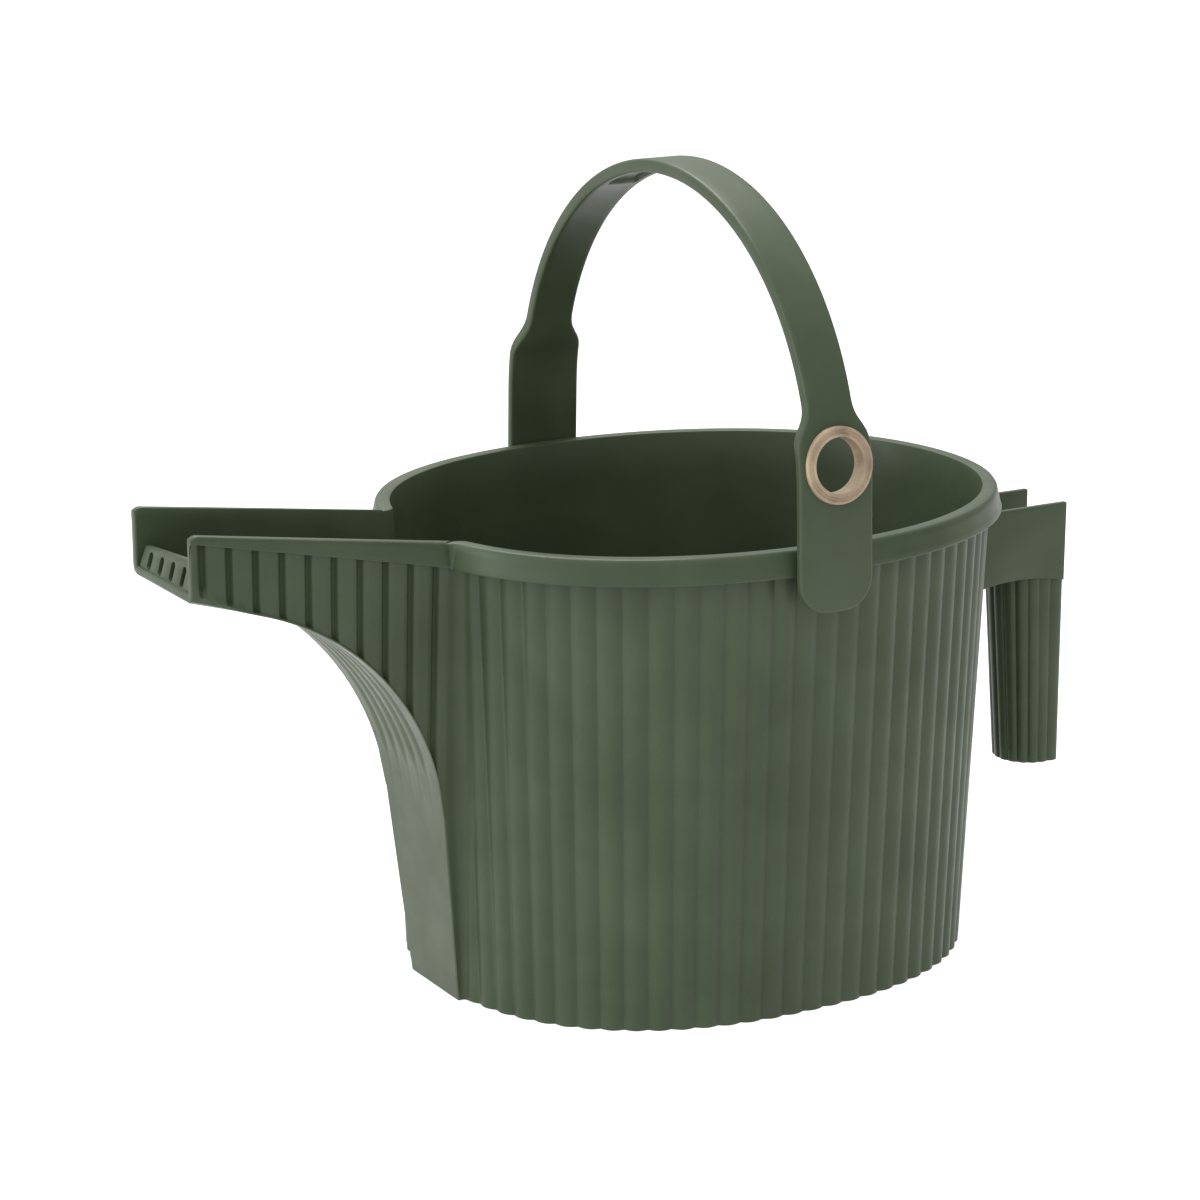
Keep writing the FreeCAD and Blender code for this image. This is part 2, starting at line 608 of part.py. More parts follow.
def ring_axis():
    lean = math.radians(RING_LEAN_DEG)
    return vec(0, -math.cos(lean), math.sin(lean))


def turned(profile):
    """Solid turned about the ring's axis from (radius, distance outwards) corners."""
    wire = Part.makePolygon([vec(r, 0, s) for r, s in profile + profile[:1]])
    solid = Part.Face(wire).revolve(vec(0, 0, 0), vec(0, 0, 1), 360)
    solid.Placement = FreeCAD.Placement(ring_middle(),
                                        FreeCAD.Rotation(vec(0, 0, 1), ring_axis()))
    return solid


def ring_hole():
    """The round hole through the tab that the sleeve fills."""
    return turned([(0.0, -RING_DEPTH), (RING_SLEEVE, -RING_DEPTH), (RING_SLEEVE, RING_DEPTH),
                   (0.0, RING_DEPTH)])


def ring_front():
    """Flange and sleeve, pushed through the tab from outside."""
    half = RING_DEPTH / 2.0
    face = half - RING_FLANGE
    return turned([(RING_BORE, -half), (RING_SLEEVE, -half), (RING_SLEEVE, face),
                   (RING_OUTER, face), (RING_OUTER, half - RING_EDGE),
                   (RING_OUTER - RING_EDGE, half), (RING_BORE + RING_EDGE, half),
                   (RING_BORE, half - RING_EDGE)])


def ring_back():
    """Collar that snaps over the sleeve on the inner side of the tab."""
    half = RING_DEPTH / 2.0
    face = half - RING_FLANGE
    return turned([(RING_SLEEVE, -half), (RING_SLEEVE, -face), (RING_OUTER, -face),
                   (RING_OUTER, -half + RING_EDGE), (RING_OUTER - RING_EDGE, -half)])


# ---- Nodes ----

def spout_zone():
    """The space round the spout, bounded by cuts square to the wall at two flutes' crests."""
    low = even_points(BASE_OVAL, FLUTES, 0.5)[SPOUT_NODE_FLUTE]
    high = even_points(crest_oval(), FLUTES, 0.5)[SPOUT_NODE_FLUTE]
    inward = SPOUT_NODE_INWARD
    outward = SPOUT_NODE_OUTWARD
    square = math.radians(SPOUT_NODE_TURN_DEG)

    def ring(height_part):
        x = low[0] + (high[0] - low[0]) * height_part
        y = low[1] + (high[1] - low[1]) * height_part
        z = BAND_LOW * height_part
        inner = (x - inward * math.cos(square), y - inward * math.sin(square))
        outer = (x + outward * math.cos(square), y + outward * math.sin(square))
        corners = [(inner[0], -inner[1]), (outer[0], -outer[1]), outer, inner]
        return Part.makePolygon([vec(x, y, z) for x, y in corners + corners[:1]])

    return ruled_solid(ring(-OVERRUN / BAND_LOW), ring(REACH / BAND_LOW))


def export(name, shape):
    solids = [s for s in shape.Solids if s.Volume > CHIP_VOLUME]
    result = solids[0] if len(solids) == 1 else Part.makeCompound(solids)
    result.exportStep(os.path.join("parts", name + ".step"))
    box = result.BoundBox
    print(name, len(solids), round(result.Volume), result.isValid(),
          [round(v, 1) for v in (box.XMin, box.XMax, box.YMin, box.YMax, box.ZMin, box.ZMax)])


def main():
    os.makedirs("parts", exist_ok=True)
    channel = spout_channel()
    moulding = vessel_moulding(channel)
    front_zone = spout_zone()
    rim_zone = block((-REACH, -REACH, BAND_LOW), (REACH, REACH, REACH))
    vessel = moulding.cut(front_zone)
    front = ring_front()
    back = ring_back()
    export("vessel_shell", vessel.cut(rim_zone))
    export("rim_band", vessel.common(rim_zone))
    export("spout_trough", moulding.common(front_zone))
    export("spout_strainer", spout_strainer(channel))
    export("rear_grip", rear_grip())
    export("bail_handle", bail_handle([front, back]))
    export("ring_front", front)
    export("ring_back", back)


main()
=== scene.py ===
import json
import math

import bmesh
import bpy
import numpy as np
from mathutils import Matrix, Vector


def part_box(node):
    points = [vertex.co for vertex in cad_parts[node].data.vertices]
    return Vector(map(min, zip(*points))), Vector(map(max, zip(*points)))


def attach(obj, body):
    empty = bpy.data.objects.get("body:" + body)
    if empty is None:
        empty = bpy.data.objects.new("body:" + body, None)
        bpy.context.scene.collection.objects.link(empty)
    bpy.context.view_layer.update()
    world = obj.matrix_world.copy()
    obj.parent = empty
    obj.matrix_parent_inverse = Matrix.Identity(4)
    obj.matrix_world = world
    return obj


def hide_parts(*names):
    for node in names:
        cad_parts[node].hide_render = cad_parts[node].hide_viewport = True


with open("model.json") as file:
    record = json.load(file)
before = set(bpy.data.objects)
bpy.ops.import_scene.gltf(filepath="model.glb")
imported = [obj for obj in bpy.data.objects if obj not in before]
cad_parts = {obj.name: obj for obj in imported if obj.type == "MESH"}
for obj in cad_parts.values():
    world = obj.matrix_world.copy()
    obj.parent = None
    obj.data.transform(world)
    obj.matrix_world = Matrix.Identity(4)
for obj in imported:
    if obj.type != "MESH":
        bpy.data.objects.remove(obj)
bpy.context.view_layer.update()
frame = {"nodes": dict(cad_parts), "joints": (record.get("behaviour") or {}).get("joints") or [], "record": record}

# ---- Sizes, in metres ----

MM = 0.001

shell_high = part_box("vessel_shell")[1]
rim_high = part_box("rim_band")[1]
spout_low, spout_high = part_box("spout_trough")
bail_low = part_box("bail_handle")[0]
grip_low, grip_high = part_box("rear_grip")
hinge = Vector(frame["joints"][0]["pos_m"])
ring_mount = frame["record"]["mounts"][1]

RIM_FLARE = 2.5 * MM
RIM_OVERHANG = 2.95 * MM
RIM_WIDTH = 6.5 * MM
RIM_TOP = rim_high.z
BAND_LOW = shell_high.z
# an oval is its centre's x, its rear, front and side reach, and the powers of its two halves
RIM_OVAL = (0.0, 142.0 * MM, 142.0 * MM, 119.0 * MM, 2.05, 2.2)
BASE_OVAL = (-4.5 * MM, 128.0 * MM, 125.5 * MM, 110.3 * MM, 2.3, 2.3)
FLUTES = 74
FLUTE_DEPTH = 1.75 * MM
VALLEY_ROUND = 0.14               # share of the depth that the valley's rounding takes
FLUTE_EASE = 0.3                  # share of a flute over which the fluting fades at the spout
SHELL_WALL = 2.5 * MM
HOLLOW_MARGIN = 1.5 * MM          # the flutes' share of the wall at the base
FLOOR_WALL = 3.0 * MM

MOUTH_X = spout_low.x
MOUTH_TOP = spout_high.z
MOUTH_BOTTOM = 199.3 * MM
MOUTH_HALF_WIDTH = 30.8 * MM
JUNCTION_X = -137.1 * MM
JUNCTION_HALF_WIDTH = 37.6 * MM
FOOT_X = -132.0 * MM
FOOT_HALF_WIDTH = 22.7 * MM
FOOT_SLOPE = 0.098
SPOUT_SLOPE = 0.325
SPOUT_BEND_RADIUS = 120.0 * MM
SPOUT_WALL = 3.0 * MM
SPOUT_SIDE_WALL = 3.8 * MM
SPOUT_EDGE_BAND = 3.5 * MM
GROOVES = 10
GROOVE_FIRST_X = -145.4 * MM
GROOVE_PITCH = 11.57 * MM
GROOVE_HALF_WIDTH = 2.2 * MM
GROOVE_DEPTH = 2.5 * MM
RIB_RECESS = 0.6 * MM
RECESS_LEAD = 4.5 * MM            # the recess starts this far before the first groove
RECESS_EASE = 2.5 * MM
RECESS_TAIL = 1.8 * MM            # and ends this far past the last one
RECESS_TAIL_EASE = 1.2 * MM
UNDER_GROOVES = 5
UNDER_PITCH = 9.2 * MM
UNDER_HALF_WIDTH = 3.0 * MM
UNDER_DEPTH = 0.9 * MM
UNDER_FADE_LOW = 99.0 * MM
UNDER_FADE_HIGH = 116.0 * MM
UNDER_STOP = 8.0 * MM             # the underside's grooves end this far from the mouth
UNDER_FULL = 14.0 * MM
UNDER_NARROW = 0.45               # share of their width where they begin
UNDER_STEPS = 7                   # places across each of them
JUNCTION_ROUND = 7.0 * MM
RIM_JUNCTION_ROUND = 16.0 * MM
JUNCTION_REACH = 0.6              # most of the side's length that the rounding may take
RIM_JUNCTION_REACH = 0.85
SIDE_HEIGHT = MOUTH_TOP + 20.0 * MM    # the height that the side walls' flare is measured over
MOUTH_CORNER = 3.4 * MM

EDGE_ROUND = 0.9 * MM
TUCK = 0.29                       # a rounded corner lies this share of its radius inside the sharp one
LIP = 0.8 * MM                    # rounding of the long edges between the front and the sides
MOUTH_LIP = 4.0 * MM              # the same edges' rounding at the mouth
MOUTH_LIP_REACH = 26.0 * MM
MOUTH_SAG = 1.0 * MM              # the underside dips by this much at the mouth's lip
MOUTH_SAG_REACH = 22.0 * MM
OVERHANG_FILLET = 0.75            # shares of the rim's overhang left along the spout
OVERHANG_STRIP = 0.7
OVERHANG_MOUTH = 0.12
OVERHANG_FADE = 26.0 * MM


# ---- Small helpers ----

def grown(oval, margin):
    centre, rear, front, side, rear_power, front_power = oval
    return (centre, rear + margin, front + margin, side + margin, rear_power, front_power)


class Trail:
    """An oval outline walked at an even pace: u runs from 0 at the rear once round to 1."""

    def __init__(self, oval):
        centre, rear, front, side, rear_power, front_power = oval
        turn = np.linspace(0.0, 2.0 * math.pi, TRAIL_STEPS + 1)
        cosine = np.cos(turn)
        sine = np.sin(turn)
        length = np.where(cosine >= 0, rear, front)
        power = np.where(cosine >= 0, rear_power, front_power)
        self.x = centre + np.sign(cosine) * length * np.abs(cosine) ** (2.0 / power)
        self.y = np.sign(sine) * side * np.abs(sine) ** (2.0 / power)
        run = np.concatenate([[0.0], np.cumsum(np.hypot(np.diff(self.x), np.diff(self.y)))])
        self.length = run[-1]
        self.u = run / run[-1]

    def at(self, u):
        return np.array([np.interp(u, self.u, self.x), np.interp(u, self.u, self.y)])


def lerp(a, b, part):
    return a + (b - a) * part


def smooth_step(low, high, value):
    part = min(1.0, max(0.0, (value - low) / (high - low)))
    return part * part * (3.0 - 2.0 * part)


def unit(v):
    return v / max(1e-12, np.linalg.norm(v))


class Profile:
    """The front panel and the spout's underside in XZ, moved towards the water by inset."""

    def __init__(self, inset, sag):
        self.sag = sag
        foot_turn = math.atan(FOOT_SLOPE)
        spout_turn = math.atan(SPOUT_SLOPE)
        self.foot_x = FOOT_X + inset / math.cos(foot_turn)
        self.mouth_z = MOUTH_BOTTOM + inset / math.cos(spout_turn)
        corner_z = self.mouth_z - SPOUT_SLOPE * (self.foot_x - MOUTH_X)
        corner_z /= 1.0 - SPOUT_SLOPE * FOOT_SLOPE
        corner_x = self.foot_x - FOOT_SLOPE * corner_z
        self.radius = SPOUT_BEND_RADIUS + inset
        tangent = self.radius * math.tan((math.pi / 2.0 - foot_turn - spout_turn) / 2.0)
        self.low_x = corner_x + tangent * math.sin(foot_turn)
        self.low_z = corner_z - tangent * math.cos(foot_turn)
        self.high_x = corner_x - tangent * math.cos(spout_turn)
        self.centre_x = self.low_x - self.radius * math.cos(foot_turn)
        self.centre_z = self.low_z - self.radius * math.sin(foot_turn)

    def x_at(self, z):
        """On the straight part under the bend."""
        return self.foot_x - FOOT_SLOPE * z

    def z_at(self, x):
        """On the bend and the spout's straight underside."""
        if x > self.high_x:
            reach = max(0.0, self.radius ** 2 - (x - self.centre_x) ** 2)
            return self.centre_z + math.sqrt(reach)
        sag = self.sag * (1.0 - smooth_step(0.0, MOUTH_SAG_REACH, x - MOUTH_X))
        return self.mouth_z - SPOUT_SLOPE * (x - MOUTH_X) - sag

    def inward(self, x, z):
        """Unit direction from the panel's face into the wall, as (x, z)."""
        if z <= self.low_z:
            return unit(np.array([1.0, FOOT_SLOPE]))
        if x > self.high_x:
            return unit(np.array([x - self.centre_x, z - self.centre_z]))
        return unit(np.array([SPOUT_SLOPE, 1.0]))


def side_half(x, z, inset):
    """Half width of the spout at a place on its side wall."""
    length = JUNCTION_X - MOUTH_X
    top = MOUTH_HALF_WIDTH + (JUNCTION_HALF_WIDTH - MOUTH_HALF_WIDTH) * (x - MOUTH_X) / length
    foot = FOOT_HALF_WIDTH + (MOUTH_HALF_WIDTH - FOOT_HALF_WIDTH) * (JUNCTION_X - x) / length
    return lerp(foot, top, z / SIDE_HEIGHT) - inset


def past_junction(x):
    return max(0.0, (JUNCTION_X - x) / (JUNCTION_X - MOUTH_X))


def spout_edge(x):
    """Height of the top edge: level along the rim, rising to the mouth's rounded corner."""
    near = min(MOUTH_CORNER, max(0.0, x - MOUTH_X))
    drop = MOUTH_CORNER - math.sqrt(MOUTH_CORNER ** 2 - (MOUTH_CORNER - near) ** 2)
    return lerp(RIM_TOP, MOUTH_TOP, past_junction(x)) - drop


def edge_band(x):
    """Height of the plain band under the top edge."""
    return lerp(RIM_TOP - BAND_LOW, SPOUT_EDGE_BAND, past_junction(x))


def lip_at(x):
    """Rounding of the spout's lower long edges, growing towards the mouth."""
    near = 1.0 - smooth_step(0.0, MOUTH_LIP_REACH, x - MOUTH_X)
    return lerp(LIP, MOUTH_LIP, near)


# ---- Columns of the vessel's surface, from the rear centre to the mouth ----

OUTER = Profile(0.0, MOUTH_SAG)
INNER = Profile(SPOUT_WALL, 0.0)
SPLIT_Z = OUTER.low_z
FLUTE_STEPS = 14
EVEN_FLUTES = 31
LOOSE_COLUMNS = 44
FILLET_COLUMNS = 8
TRAIL_STEPS = 5760
STRIP_SHARES = (0.0, 0.35, 0.7)
STRIP_EDGE = 1.3 * MM             # last column of the strip beside the lip
STRIP_ROOM = 4.0 * MM             # a strip narrower than this squeezes its last columns
MIN_STRIP = 0.5 * MM
MIN_MEET = 2.5 * MM
GROOVE_COLUMNS = (0.5, 0.95, 1.35, 1.8, 2.2)     # mm on both sides of a groove's middle
RIB_COLUMNS = (4.2, 5.8, 7.4)                    # mm, on the rib behind it
COLUMN_GAP = 0.4 * MM
CORNER_SEARCH = (0.30, 0.4999)    # u between which the oval meets the spout's side
HALVINGS = 30
CORNER_SHARES = (0.0, 0.12, 0.27, 0.48, 0.74, 1.0)


def spout_places():
    """X of the spout's columns, close together at each groove."""
    offsets = (0.0,) + GROOVE_COLUMNS + tuple(-offset for offset in GROOVE_COLUMNS) + RIB_COLUMNS
    places = [OUTER.low_x]
    for i in range(GROOVES):
        for offset in offsets:
            x = GROOVE_FIRST_X - GROOVE_PITCH * i - offset * MM
            if MOUTH_X + MOUTH_CORNER < x < OUTER.low_x - COLUMN_GAP:
                places.append(x)
    for share in CORNER_SHARES:
        places.append(MOUTH_X + lerp(EDGE_ROUND, MOUTH_CORNER, share))
    return sorted(set(places), reverse=True)


def column_list():
    columns = [("oval", i / (FLUTE_STEPS * FLUTES)) for i in range(EVEN_FLUTES * FLUTE_STEPS)]
    columns += [("loose", i / (LOOSE_COLUMNS - 1.0)) for i in range(LOOSE_COLUMNS)]
    columns += [("fillet", i / float(FILLET_COLUMNS)) for i in range(1, FILLET_COLUMNS)]
    columns += [("strip", part) for part in STRIP_SHARES]
    columns += [("lip", distance) for distance in (STRIP_EDGE, LIP)]
    columns += [("side", x) for x in spout_places()]
    return columns


COLUMNS = column_list()
FULL_COLUMNS = next(i for i, c in enumerate(COLUMNS) if c[0] == "side") + 1


class Skin:
    """One face of the wall: places in plan for any column at any height."""

    def __init__(self, low_oval, high_oval, low_z, high_z, inset, profile, rounding, reach_share):
        self.rounding = rounding
        self.reach_share = reach_share
        self.low_trail = Trail(low_oval)
        self.high_trail = Trail(high_oval)
        self.low_z = low_z
        self.high_z = high_z
        self.inset = inset
        self.profile = profile
        self.corners = {}

    def oval(self, u, z):
        part = (z - self.low_z) / (self.high_z - self.low_z)
        return lerp(self.low_trail.at(u), self.high_trail.at(u), part)

    def corner(self, z):
        """Where the oval meets the spout's side wall: its u, its place, the rounding's reach."""
        key = round(z, 7)
        if key not in self.corners:
            low, high = CORNER_SEARCH
            for _ in range(HALVINGS):
                middle = (low + high) / 2.0
                x, y = self.oval(middle, z)
                if y > side_half(x, z, self.inset):
                    low = middle
                else:
                    high = middle
            place = self.oval(low, z)
            edge_x = self.profile.x_at(min(z, self.profile.low_z))
            reach = min(self.rounding, self.reach_share * max(MIN_STRIP, place[0] - edge_x))
            meet = low - max(reach, MIN_MEET) / self.high_trail.length
            self.corners[key] = (meet, place, reach, edge_x)
        return self.corners[key]

    def side_x(self, x):
        part = (x - OUTER.low_x) / (MOUTH_X - OUTER.low_x)
        return lerp(self.profile.low_x, MOUTH_X, part)

    def point(self, column, z):
        kind, value = column
        if kind == "oval":
            return self.oval(value, z)
        if kind == "side":
            x = self.side_x(value)
            if z < self.profile.low_z:
                x = self.profile.x_at(z)
            return np.array([x, side_half(x, z, self.inset)])
        meet, place, reach, edge_x = self.corner(z)
        start_x = place[0] - reach
        start = np.array([start_x, side_half(start_x, z, self.inset)])
        if kind == "loose":
            return self.oval(lerp(EVEN_FLUTES / FLUTES, meet, value), z)
        if kind == "fillet":
            away = 1.0 - value
            return away ** 2 * self.oval(meet, z) + 2.0 * value * away * place + value ** 2 * start
        if kind == "lip":
            x = edge_x + value * min(1.0, (start_x - edge_x) / STRIP_ROOM)
            return np.array([x, side_half(x, z, self.inset)])
        lip_x = edge_x + STRIP_EDGE * min(1.0, (start_x - edge_x) / STRIP_ROOM)
        x = lerp(start_x, lip_x, value)
        return np.array([x, side_half(x, z, self.inset)])

    def row(self, columns, z_of):
        """Places of many columns, each at its own height."""
        return [self.point(c, z) for c, z in zip(columns, z_of)]


def outward_of(places):
    """Unit directions away from the water along a row that runs from the rear to the mouth."""
    points = np.array(places)
    run = np.gradient(points, axis=0)
    run[0] = np.array([0.0, 1.0])
    size = np.maximum(1e-12, np.hypot(run[:, 0], run[:, 1]))
    return np.stack([run[:, 1] / size, -run[:, 0] / size], axis=1)


def flute_dip(skin, column, z):
    """Depth of the fluting at a column: wide lobes between narrow rounded valleys."""
    kind, value = column
    strength = 1.0
    if kind == "oval":
        part = value
    elif kind == "loose":
        meet = skin.corner(z)[0]
        part = lerp(EVEN_FLUTES / FLUTES, meet, value)
        strength = smooth_step(0.0, FLUTE_EASE, (meet - part) * FLUTES)
    else:
        return 0.0
    away = abs(2.0 * ((part * FLUTES) % 1.0) - 1.0)
    height = 1.0 - away ** 2
    ease = math.sqrt(1.0 + VALLEY_ROUND ** 2) - 1.0
    rounded = math.sqrt(height ** 2 + VALLEY_ROUND ** 2) - ease * height
    return FLUTE_DEPTH * (1.0 - rounded) * strength


def groove_dip(x):
    """Depth of the spout's side wall behind its plain band."""
    start = GROOVE_FIRST_X + RECESS_LEAD
    last = GROOVE_FIRST_X - GROOVE_PITCH * (GROOVES - 1)
    recess = smooth_step(0.0, RECESS_EASE, start - x)
    recess *= 1.0 - smooth_step(0.0, RECESS_TAIL_EASE, last - RECESS_TAIL - x)
    i = round((GROOVE_FIRST_X - x) / GROOVE_PITCH)
    near = GROOVE_FIRST_X - GROOVE_PITCH * min(GROOVES - 1, max(0, i))
    away = abs(x - near) / GROOVE_HALF_WIDTH
    groove = 0.5 + 0.5 * math.cos(math.pi * away) if away < 1.0 else 0.0
    return RIB_RECESS * recess + GROOVE_DEPTH * groove


def overhang(column):
    """How strongly the rim's overhang shows: in full round the oval, fading along the spout."""
    kind, value = column
    if kind in ("oval", "loose"):
        return 1.0
    if kind == "fillet":
        return lerp(1.0, OVERHANG_FILLET, value)
    if kind in ("strip", "lip"):
        return OVERHANG_STRIP
    return lerp(OVERHANG_STRIP, OVERHANG_MOUTH, smooth_step(0.0, OVERHANG_FADE, JUNCTION_X - value))


# ---- Vessel mesh ----

def grid_faces(rows):
    """Quads between rows of vertex numbers."""
    faces = []
    for a, b in zip(rows, rows[1:]):
        for i in range(len(a) - 1):
            faces.append((a[i], a[i + 1], b[i + 1], b[i]))
    return faces


WELD_DISTANCE = 0.004 * MM
THIN_EDGE = 0.002 * MM


def smooth(mesh):
    for face in mesh.polygons:
        face.use_smooth = True


def linked(name, data):
    """A new object in the scene."""
    thing = bpy.data.objects.new(name, data)
    bpy.context.scene.collection.objects.link(thing)
    return thing


class Builder:
    """Collects grids of places and welds them where they meet."""

    def __init__(self):
        self.points = []
        self.faces = []

    def add(self, places):
        start = len(self.points)
        self.points.extend(tuple(p) for p in places)
        return list(range(start, start + len(places)))

    def grid(self, rows):
        self.faces.extend(grid_faces([self.add(row) for row in rows]))

    def cap(self, places):
        self.faces.append(tuple(self.add(places)))

    def make(self, name):
        mesh = bpy.data.meshes.new(name)
        mesh.from_pydata(self.points, [], self.faces)
        shape = bmesh.new()
        shape.from_mesh(mesh)
        bmesh.ops.remove_doubles(shape, verts=shape.verts, dist=WELD_DISTANCE)
        bmesh.ops.dissolve_degenerate(shape, edges=shape.edges, dist=THIN_EDGE)
        bmesh.ops.recalc_face_normals(shape, faces=shape.faces)
        shape.to_mesh(mesh)
        shape.free()
        smooth(mesh)
        return linked(name, mesh)


def mirrored(row):
    return [(x, -y, z) for x, y, z in row]


WALL = Skin(BASE_OVAL, grown(RIM_OVAL, -RIM_OVERHANG), 0.0, BAND_LOW,
            0.0, OUTER, JUNCTION_ROUND, JUNCTION_REACH)
RIM = Skin(RIM_OVAL, RIM_OVAL, 0.0, BAND_LOW,
           0.0, OUTER, RIM_JUNCTION_ROUND, RIM_JUNCTION_REACH)
HOLLOW = Skin(grown(BASE_OVAL, -HOLLOW_MARGIN - SHELL_WALL), grown(RIM_OVAL, -RIM_WIDTH), FLOOR_WALL, RIM_TOP,
              SPOUT_SIDE_WALL, INNER, RIM_JUNCTION_ROUND, RIM_JUNCTION_REACH)

# heights of the mesh's rows, close together where an edge is rounded
LOW_HEIGHTS = [0.25 * MM, 0.9 * MM] + list(np.linspace(4.0 * MM, SPLIT_Z, 9))
HIGH_PARTS = np.linspace(0.0, 1.0, 9)[1:]
FLOOR_ROUND = 1.5 * MM
FLOOR_HEIGHTS = [FLOOR_WALL + FLOOR_ROUND] + list(np.linspace(12.0 * MM, INNER.low_z, 7))
LIP_SHARES = (0.0, 1.0, 1.9)

# the rim band's section in mm: steps out and up under it, and rounds at its top edges
BAND_SECTION = ((-0.75, 0.0), (-0.2, 0.12), (-0.04, 0.35), (0.0, 0.75))
BAND_SHARES = (0.25, 0.5, 0.75, 1.0)
BAND_TOP_ROUND = 1.3 * MM
OUTER_ROUND = ((0.15, 0.65), (0.5, 0.22), (1.2, 0.0))
INNER_ROUND = ((0.9, 0.0), (0.25, 0.25), (0.0, 0.9))
FOOT_ROUND = 0.5 * MM
FOOT_MARGIN = 4.0 * MM            # from the foot's edge to the flat cap under it
FLOOR_CORNER = 0.45 * MM
PANEL_GAP = 1.2 * MM


def wall_row(columns, heights, bottom_edge):
    """One row of the outer wall with its flutes and grooves pressed in."""
    flat = WALL.row(columns, heights)
    out = outward_of(flat)
    row = []
    for column, z, place, direction in zip(columns, heights, flat, out):
        dip = flute_dip(WALL, column, z)
        if column[0] == "side":
            dip = 0.0 if bottom_edge else groove_dip(column[1])
        x, y = place - direction * dip
        row.append((x, y, z))
    return row


def tuck(row, profile, amount):
    """Moves the row's places in from a long sharp edge, to round it."""
    moved = []
    for x, y, z in row:
        inward = profile.inward(x, z)
        side = -math.copysign(amount, y)
        moved.append((x + inward[0] * amount, y + side, z + inward[1] * amount))
    return moved


def column_low(column, profile):
    if column[0] == "side":
        return profile.z_at(WALL.side_x(column[1]) if profile is OUTER else HOLLOW.side_x(column[1]))
    return profile.low_z


def column_x(column):
    return column[1] if column[0] == "side" else JUNCTION_X


def band_rows():
    """The rim from the wall's top, round its outside and over its top to the inner wall."""
    tops = [spout_edge(column_x(c)) for c in COLUMNS]
    lows = [top - edge_band(column_x(c)) for c, top in zip(COLUMNS, tops)]
    flat = RIM.row(COLUMNS, lows)
    out = outward_of(flat)
    strengths = [overhang(c) for c in COLUMNS]
    rows = []
    for share, rise in BAND_SECTION:
        row = []
        for i, column in enumerate(COLUMNS):
            step = RIM_FLARE * strengths[i]
            room = step + (groove_dip(column[1]) if column[0] == "side" else 0.0)
            size = min(1.0, room / MM)
            x, y = flat[i] + out[i] * (step + share * MM * size)
            row.append((x, y, lows[i] + rise * MM * size))
        rows.append(row)
    for share in BAND_SHARES:
        row = []
        for i, column in enumerate(COLUMNS):
            top = tops[i] - BAND_TOP_ROUND
            z = lerp(lows[i] + BAND_SECTION[-1][1] * MM, top, share)
            distance = RIM_FLARE * strengths[i] * (tops[i] - z) / (tops[i] - lows[i])
            x, y = flat[i] + out[i] * distance
            row.append((x, y, z))
        rows.append(row)
    inner = HOLLOW.row(COLUMNS, tops)
    for inset, drop in OUTER_ROUND:
        rows.append([(*(outer - away * inset * MM), top - drop * MM)
                     for outer, away, top in zip(flat, out, tops)])
    for outset, drop in INNER_ROUND:
        rows.append([(*(near + unit(outer - near) * outset * MM), top - drop * MM)
                     for near, outer, top in zip(inner, flat, tops)])
    return rows, lows, tops


def panel_ys(half, lip):
    """Places across the front panel, even over the grooves and closer at the rounded edges."""
    margin = 1.5 * lip
    beside = UNDER_STEPS // 2
    ys = [-half, -half + lip, -half + margin]
    for i in range(UNDER_GROOVES):
        middle = (i - (UNDER_GROOVES - 1) / 2.0) * UNDER_PITCH
        for k in range(-beside, beside + 1):
            ys.append(middle + k * UNDER_PITCH / UNDER_STEPS)
    ys += [half - margin, half - lip, half]
    room = half - margin - PANEL_GAP
    widest = UNDER_PITCH * (UNDER_GROOVES - 1) / 2.0 + beside * UNDER_PITCH / UNDER_STEPS
    squeeze = min(1.0, room / widest)
    return [y * squeeze if 3 <= i < len(ys) - 3 else y for i, y in enumerate(ys)]


def under_dip(y, x, z):
    """Depth of the grooves that run up the front panel's bend and under the spout."""
    strength = smooth_step(UNDER_FADE_LOW, UNDER_FADE_HIGH, z)
    strength *= smooth_step(UNDER_STOP, UNDER_FULL, x - MOUTH_X)
    i = min(UNDER_GROOVES - 1, max(0, round(y / UNDER_PITCH + (UNDER_GROOVES - 1) / 2.0)))
    middle = (i - (UNDER_GROOVES - 1) / 2.0) * UNDER_PITCH
    away = abs(y - middle) / (UNDER_HALF_WIDTH * lerp(UNDER_NARROW, 1.0, strength))
    if away >= 1.0:
        return 0.0
    return UNDER_DEPTH * strength * (0.5 + 0.5 * math.cos(math.pi * away))


def panel_rows(skin, profile, heights, relief):
    """The front panel and the spout's underside, or the channel's floor inside them."""
    rows = [(profile.x_at(z), z) for z in heights]
    for column in COLUMNS[FULL_COLUMNS:]:
        x = skin.side_x(column[1])
        rows.append((x, profile.z_at(x)))
    result = []
    for x, z in rows:
        half = side_half(x, z, skin.inset)
        inward = profile.inward(x, z)
        row = []
        lip = lip_at(x) if relief else LIP
        for y in panel_ys(half, lip):
            dip = under_dip(y, x, z) if relief else 0.0
            row.append((x + inward[0] * dip, y, z + inward[1] * dip))
        edge = TUCK * lip * (1.0 if relief else -1.0)
        first = tuck([row[0]], profile, edge)[0]
        last = tuck([row[-1]], profile, edge)[0]
        result.append([first] + row[1:-1] + [last])
    return result


def units(rows):
    return rows / np.maximum(1e-9, np.linalg.norm(rows, axis=1))[:, None]


